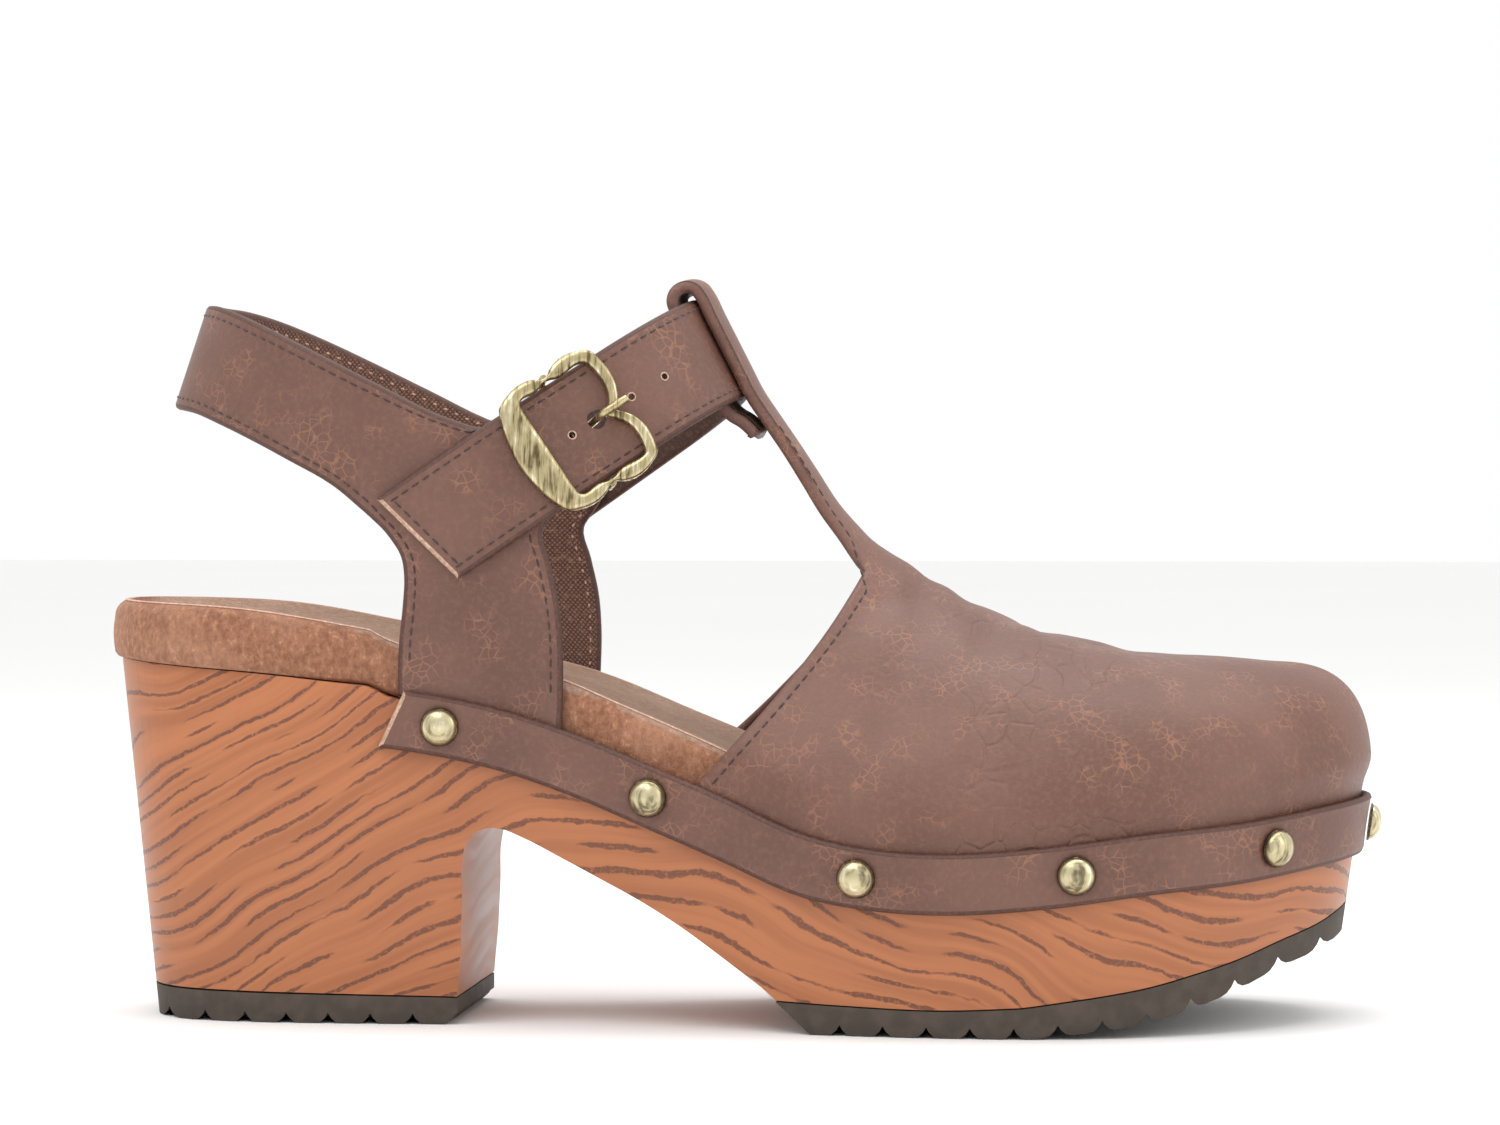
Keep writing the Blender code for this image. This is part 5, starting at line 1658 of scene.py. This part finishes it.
def build_quarter(shaders):
    """One band from both sides of the sole up and round the heel."""
    lateral = quarter_side(medial=False)
    medial = quarter_side(medial=True)
    coarse = lateral + list(reversed(medial[:-1]))
    for point in coarse[len(lateral) - 1]:
        point.y = 0.0
    rows = refine(coarse, 5)
    columns = BAND_COLUMNS + 1
    outer = [point for row in rows for point in row]
    quads = grid_faces(len(rows), columns)
    normals = outward_normals(outer, quads, len(outer) // 2, Vector((-1.0, 0.0, 0.0)))
    feet = 6 * columns
    for i, point in enumerate(outer):
        if i < feet or i >= len(outer) - feet:
            flat = Vector((0.0, math.copysign(1.0, point.y), 0.0))
            row = min(i, len(outer) - 1 - i) // columns
            normals[i] = flat.lerp(normals[i], ramp(row, 2.0, 6.0)).normalized()
    walls = [QUARTER_WALL] * len(outer)
    quarter = round_sheet("quarter_sling_leather", outer, normals, walls, quads, shaders)
    return quarter, rows, rows_of(normals, columns)


def build_vamp(shaders):
    """Hollow upper: vamp with soft creases, T-strap and the loop around the ankle strap."""
    low_turns = list(np.interp(np.linspace(0.0, 1.0, 25), np.linspace(0.0, 1.0, 8), VAMP_TURNS[:8]))
    high_turns = [mix(VAMP_TURNS[7], 90.0, (i + 1) / 8.0) for i in range(8)]
    turns = tuple(low_turns + high_turns)
    half = len(turns)
    columns = 2 * half + 1
    root_column = 25
    grid = []
    for i in range(VAMP_STATIONS):
        share = i / VAMP_STATIONS
        lateral = vamp_side(share, False, turns)
        medial = vamp_side(share, True, turns)
        grid.append(lateral + list(reversed(medial[:-1])))
    outer = [point for row in grid for point in row]
    tip = len(outer)
    outer += vamp_side(1.0, False, turns)
    quads = grid_faces(VAMP_STATIONS, columns)
    last = (VAMP_STATIONS - 1) * columns
    for column in range(columns - 1):
        ahead = tip + min(column, columns - 1 - column)
        after = tip + min(column + 1, columns - 2 - column)
        quads.append((last + column, last + column + 1, after, ahead))
    feet = {tip, tip + 1}
    for i in range(VAMP_STATIONS):
        feet.update(i * columns + column for column in (0, 1, columns - 2, columns - 1))

    root = list(range(root_column, columns - root_column))
    coarse = [[outer[columns + i] for i in root], [outer[i] for i in root]]
    for point, width, crown in tstrap_route():
        row = []
        for column in range(len(root)):
            side = 2.0 * column / (len(root) - 1) - 1.0
            bend = strap_direction() * crown * side * side
            row.append(point + Vector((0.0, side * width, 0.0)) + bend)
        coarse.append(row)
    steps = 4
    strap_rows = refine(coarse, steps)[steps:]
    walls = [VAMP_WALL] * len(outer)
    before = root
    indices = [root]
    for i, row in enumerate(strap_rows[1:]):
        here = list(range(len(outer), len(outer) + len(row)))
        outer += row
        walls += [mix(VAMP_WALL, TONGUE_THICKNESS, min((i + 1) / (3.0 * steps), 1.0))] * len(row)
        for column in range(len(row) - 1):
            quads.append((here[column], here[column + 1], before[column + 1], before[column]))
        indices.append(here)
        before = here
    crest = (VAMP_STATIONS // 2) * columns + half
    smooth = outward_normals(outer, quads, crest, Vector((0.0, 0.0, 1.0)))
    for i in range(tip):
        height = ramp(outer[i].z - rim_z(outer[i].x), 0.004, 0.020)
        outer[i] = outer[i] - smooth[i] * crease_depth(outer[i]) * height
    normals = outward_normals(outer, quads, crest, Vector((0.0, 0.0, 1.0)))
    seats = [Vector((n.x, n.y, 0.0)).normalized() if i in feet else n for i, n in enumerate(normals)]
    vamp = round_sheet("vamp_leather", outer, seats, walls, quads, shaders)
    body = rows_of(outer[:tip], columns)
    body_normals = rows_of(normals[:tip], columns)
    strap = [[outer[i] for i in row] for row in indices]
    strap_normals = [[normals[i] for i in row] for row in indices]
    routes = []
    for mirror in (False, True):
        order = slice(None, None, -1) if mirror else slice(None)
        throat = turned([row[order] for row in body])[2:root_column - 1]
        throat_normals = turned([row[order] for row in body_normals])[2:root_column - 1]
        route = inset_route(throat, throat_normals, THROAT_SEAM_INSET)
        side = [row[order] for row in strap[3:20]]
        side_normals = [row[order] for row in strap_normals[3:20]]
        routes.append(route + inset_route(side, side_normals, TSTRAP_SEAM_INSET))
    return vamp, routes


def build_buckle_frame(shader):
    """Frame with a rounded top face, and the round bar that it turns on."""
    low = STRAP_THICKNESS / 2.0 + GAP
    high = low + BUCKLE_THICKNESS
    sections = [[Vector((a, b, 0.0)), Vector((c, d, 0.0))] for a, b, c, d in buckle_sections()]
    fine = refine(sections + sections[:1], 5)[:-1]
    points = []
    profile = ((0.0, 0.0), (0.0, 0.62), (0.05, 0.82), (0.16, 0.95), (0.34, 1.0), (0.66, 1.0),
               (0.84, 0.95), (0.95, 0.82), (1.0, 0.62), (1.0, 0.0))
    for outer, inner in fine:
        for share, height in profile:
            corner = outer.lerp(inner, share)
            points.append(on_buckle(corner.x, corner.y, mix(low, high, height)))
    ring = len(profile)
    faces = []
    for i in range(len(fine)):
        after = (i + 1) % len(fine)
        for corner in range(ring):
            beside = (corner + 1) % ring
            faces.append((i * ring + corner, i * ring + beside, after * ring + beside, after * ring + corner))
    frame = solid("buckle_frame_brass", points, faces, shader, smooth_angle=40.0)
    turn = BAR_DEPTH - BAR_RADIUS
    top = mix(low, high, 0.5)
    side = BAR_HALF_SPAN
    bend = BAR_RADIUS
    route = ((side, top), (side, -turn), (side - bend, -BAR_DEPTH),
             (bend - side, -BAR_DEPTH), (-side, -turn), (-side, top))
    bar_points, bar_faces = tube([on_buckle(0.0, width, height) for width, height in route], BAR_RADIUS, 20)
    bar = solid("buckle_bar", bar_points, bar_faces, shader)
    boolean(frame, bar, "UNION")
    settle(frame, [bar], smooth_angle=40.0)
    return frame


def build_buckle_prong(shader):
    """Prong with an eye on the bar, a flattened arm and a rounded tip."""
    half = PRONG_HALF_WIDTH
    prong = drum("buckle_prong_brass", PRONG_EYE_RADIUS, -half, half, shader, sides=32)
    rows = [[Vector((length, 0.0, height))] for length, height in PRONG.rows]
    route = [on_buckle(row[0].x, 0.0, row[0].z) for row in refine(rows, 5)]
    points, faces = tube(route, PRONG_RADIUS, 20)
    arm = solid("prong_arm", points, faces, shader)
    bore = drum("prong_bore", BAR_RADIUS + GAP, -2.0 * half, 2.0 * half, shader, sides=24)
    boolean(prong, arm, "UNION")
    boolean(prong, bore, "DIFFERENCE")
    settle(prong, [arm, bore])
    bevel(prong, PRONG_BEVEL, 3, 50.0)
    settle(prong, smooth_angle=50.0)
    return prong


def build_buckle_tab(shader, node):
    """Leather tab around the buckle's bar, with softened edges."""
    tab = bpy.data.objects.new("buckle_tab_leather", node.data.copy())
    bpy.context.collection.objects.link(tab)
    tab.data.materials.clear()
    tab.data.materials.append(shader)
    shape = bmesh.new()
    shape.from_mesh(tab.data)
    bmesh.ops.remove_doubles(shape, verts=shape.verts, dist=1e-6)
    shape.to_mesh(tab.data)
    shape.free()
    bevel(tab, TAB_BEVEL, 2, 40.0)
    settle(tab, smooth_angle=50.0)
    return tab


def build_stud(name, place, dome_shader, rim_shader):
    """Domed stud with a thin flange on the rand, whose very dark colour is partly the flange's own darker
    metal and partly painted shadow of the gap under the dome.
    """
    x = plan_point(place).x
    upper = sole_side(place, rim_drop(x, 0.25), GAP + RAND_THICKNESS)
    lower = sole_side(place, rim_drop(x, 0.75), GAP + RAND_THICKNESS)
    upward = (upper - lower).normalized()
    flat = plan_normal(place)
    outward = (flat - upward * flat.dot(upward)).normalized()
    forward = upward.cross(outward)
    middle = (upper + lower) / 2.0 + outward * GAP
    profile = [(1.0, 0.0), (1.0, 0.10), (0.965, FLANGE_SHARE), (DOME_SHARE, FLANGE_SHARE)]
    for turn in np.radians(range(8, 89, 8)):
        profile.append((DOME_SHARE * math.cos(turn), mix(FLANGE_SHARE, 1.0, math.sin(turn))))
    sides = 40
    points = []
    for share, height in profile:
        for side in range(sides):
            angle = 2.0 * math.pi * side / sides
            spoke = forward * math.cos(angle) + upward * math.sin(angle)
            points.append(middle + spoke * STUD_RADIUS * share + outward * STUD_HEIGHT * height)
    points.append(middle + outward * STUD_HEIGHT)
    faces = [tuple(range(sides))]
    for ring in range(len(profile) - 1):
        for side in range(sides):
            after = (side + 1) % sides
            start = ring * sides
            faces.append((start + side, start + after, start + sides + after, start + sides + side))
    start = (len(profile) - 1) * sides
    faces += [(start + side, start + (side + 1) % sides, len(points) - 1) for side in range(sides)]
    stud = solid(name, points, faces, dome_shader, smooth_angle=50.0)
    stud.data.materials.append(rim_shader)
    # Faces near the rand take the very dark flange brass, which also paints the shadow in the gap around the
    # stud.
    for face in stud.data.polygons:
        if (face.center - middle).dot(outward) < STUD_HEIGHT * 0.175:
            face.material_index = 1
    return stud


# Camera and light

def add_camera():
    """The photograph's angle: slightly from the toe's side, almost level with the shoe."""
    level = math.cos(CAMERA_PITCH)
    rise = math.sin(CAMERA_PITCH)
    back = Vector((math.sin(CAMERA_AZIMUTH) * level, -math.cos(CAMERA_AZIMUTH) * level, rise))
    right = Vector((math.cos(CAMERA_AZIMUTH), math.sin(CAMERA_AZIMUTH), 0.0))
    up = back.cross(right)
    target = Vector((CAMERA_AIM_X, 0.0, CAMERA_HEIGHT - CAMERA_AWAY * rise))
    camera = bpy.data.objects.new("camera", bpy.data.cameras.new("camera"))
    camera.data.sensor_width = CAMERA_SENSOR
    camera.data.lens = CAMERA_LENS
    camera.data.clip_start = 0.01
    camera.matrix_world = Matrix((right, up, back)).transposed().to_4x4()
    camera.location = target + back * CAMERA_AWAY
    bpy.context.collection.objects.link(camera)
    bpy.context.scene.camera = camera


def add_light(name, place, aim, size, power, colour=(1.0, 1.0, 1.0)):
    light = bpy.data.lights.new(name, "AREA")
    light.shape = "RECTANGLE"
    light.size, light.size_y = size
    light.energy = power
    light.color = colour
    lamp = bpy.data.objects.new(name, light)
    lamp.location = place
    lamp.rotation_euler = (Vector(aim) - Vector(place)).to_track_quat("-Z", "Y").to_euler()
    bpy.context.collection.objects.link(lamp)


def add_stage():
    floor = bpy.data.objects.new("floor", bpy.data.meshes.new("floor"))
    corners = ((-1.0, -1.0), (1.0, -1.0), (1.0, 1.0), (-1.0, 1.0))
    points = [(x * FLOOR_REACH, y * FLOOR_REACH, 0.0) for x, y in corners]
    floor.data.from_pydata(points, [], [(0, 1, 2, 3)])
    shader = Shader("floor_paper", 0.9)
    tint = shader.noise(2.0, 1.0)
    colour = shader.blend(tint, (0.92, 0.915, 0.91), (0.94, 0.937, 0.933))
    floor.data.materials.append(shader.finish(colour))
    bpy.context.collection.objects.link(floor)
    world = bpy.data.worlds.new("studio")
    bpy.context.scene.world = world
    world.use_nodes = True
    background = world.node_tree.nodes["Background"]
    background.inputs["Color"].default_value = (1.0, 1.0, 1.0, 1.0)
    background.inputs["Strength"].default_value = 1.0
    bpy.context.scene.view_settings.view_transform = "Standard"
    add_light("key", (-0.25, -0.55, 0.95), (0.08, 0.0, 0.05), (0.9, 0.6), 4.0)
    add_light("top", (0.20, 0.20, 1.05), (0.12, 0.0, 0.06), (0.9, 0.7), 5.0)
    add_light("side", (0.95, -0.35, 0.45), (0.12, 0.0, 0.06), (0.5, 0.7), 1.6)


def keep(piece, slot, *nodes):
    """Let a piece ride on the shoe and stand for its nodes; the slot is not used."""
    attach(piece, "root")
    if nodes:
        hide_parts(*nodes)


def main():
    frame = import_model()

    brown = leather("brown_leather", (0.150, 0.068, 0.048), (0.118, 0.050, 0.034), (0.190, 0.092, 0.066),
                    (0.300, 0.135, 0.075))
    vamp_brown = leather("vamp_leather", (0.158, 0.070, 0.048), (0.128, 0.053, 0.035), (0.200, 0.096, 0.068),
                         (0.310, 0.140, 0.076), wrinkles=0.45)
    edge = edge_paint("leather_edge", (0.070, 0.028, 0.019), (0.120, 0.052, 0.036))
    raw = edge_paint("raw_edge", (0.420, 0.250, 0.170), (0.600, 0.420, 0.310))
    lining = woven("woven_lining", (0.240, 0.118, 0.078), (0.080, 0.034, 0.022), (0.380, 0.210, 0.145))
    inside = edge_paint("vamp_lining", (0.060, 0.028, 0.020), (0.120, 0.060, 0.042))
    side_suede = suede("footbed_suede", (0.330, 0.148, 0.083), (0.215, 0.088, 0.046),
                       (0.500, 0.270, 0.170))
    top_suede = suede("footbed_top", (0.330, 0.200, 0.140), (0.230, 0.130, 0.088), (0.480, 0.330, 0.250))
    # Pale bead on the footbed's edge: partly the seam's own colour, partly a painted highlight of the edge
    # lit from above.
    seam_with_painted_highlight = edge_paint("footbed_seam_painted_highlight", (0.520, 0.300, 0.215), (0.720, 0.480, 0.370))
    wood = wood_look("wood_look")
    black = rubber("taupe_rubber")
    metal = brass("antique_brass", (0.480, 0.400, 0.225), (0.130, 0.095, 0.045), (0.860, 0.790, 0.560),
                  (1.0, 0.25, 0.12))
    dome = brass("stud_brass", (0.560, 0.490, 0.300), (0.180, 0.150, 0.090), (0.880, 0.830, 0.620),
                 (0.25, 1.0, 0.08))
    # Very dark brass for the stud flanges: partly darker metal, partly painted shadow of the gap around each
    # stud.
    rim = brass("flange_brass_painted_gap_shadow", (0.085, 0.062, 0.035), (0.040, 0.028, 0.017), (0.200, 0.160, 0.090))
    dark_thread = thread("dark_thread", (0.036, 0.013, 0.009), (0.090, 0.036, 0.025))
    pale_thread = thread("pale_thread", (0.420, 0.240, 0.165), (0.640, 0.430, 0.320))

    keep(build_platform(wood), "wood_look_platform", "wood_platform")
    keep(build_heel_toplift(black), "taupe_rubber", "heel_toplift")
    keep(build_forefoot_outsole(black), "taupe_rubber", "forefoot_outsole")
    keep(build_rand((brown, edge, inside, raw)), "brown_leather", "rand")

    footbed = build_footbed(side_suede, top_suede)
    keep(footbed, "tan_suede", "footbed")
    keep(build_footbed_seam(seam_with_painted_highlight), "tan_suede")

    vamp, vamp_routes = build_vamp((vamp_brown, brown, inside))
    keep(vamp, "brown_leather", "vamp")
    keep(stitches("vamp_stitches", vamp_routes, dark_thread), "brown_leather")

    quarter, rows, normals = build_quarter((brown, edge, lining))
    keep(quarter, "brown_leather", "quarter_sling")
    above = slice(8, len(rows) - 8)
    upper, lower = edge_routes(rows[above], normals[above], QUARTER_SEAM_INSET)
    keep(stitches("quarter_stitches", (upper, lower), dark_thread), "brown_leather")
    lining_routes = []
    for route in edge_routes(rows[above], normals[above], QUARTER_SEAM_INSET):
        lining_routes.append([(point - normal * QUARTER_WALL, -normal) for point, normal in route])
    size = (LINING_STITCH_LENGTH, LINING_STITCH_RADIUS)
    keep(stitches("lining_stitches", lining_routes, pale_thread, *size), "brown_leather")

    strap, hole_rims, rows, normals = build_ankle_strap((brown, edge, inside, raw), raw)
    keep(strap, "brown_leather", "ankle_strap")
    keep(hole_rims, "brown_leather")
    low, high = edge_routes(rows[1:], normals[1:], STRAP_SEAM_INSET)
    tail, _ = edge_routes(turned(rows)[2:-2], turned(normals)[2:-2], TAIL_SEAM_INSET)
    keep(stitches("strap_stitches", (low, high, tail), dark_thread), "brown_leather")

    keep(build_buckle_frame(metal), "antique_brass", "buckle_frame")
    keep(build_buckle_prong(metal), "antique_brass", "buckle_prong")
    keep(build_buckle_tab(brown, frame["nodes"]["buckle_tab"]), "brown_leather", "buckle_tab")
    for i, place in enumerate(stud_places()):
        name = f"stud_{i + 1:02d}"
        keep(build_stud(f"{name}_dome", place, dome, rim), "antique_brass", name)

    add_camera()
    add_stage()


main()
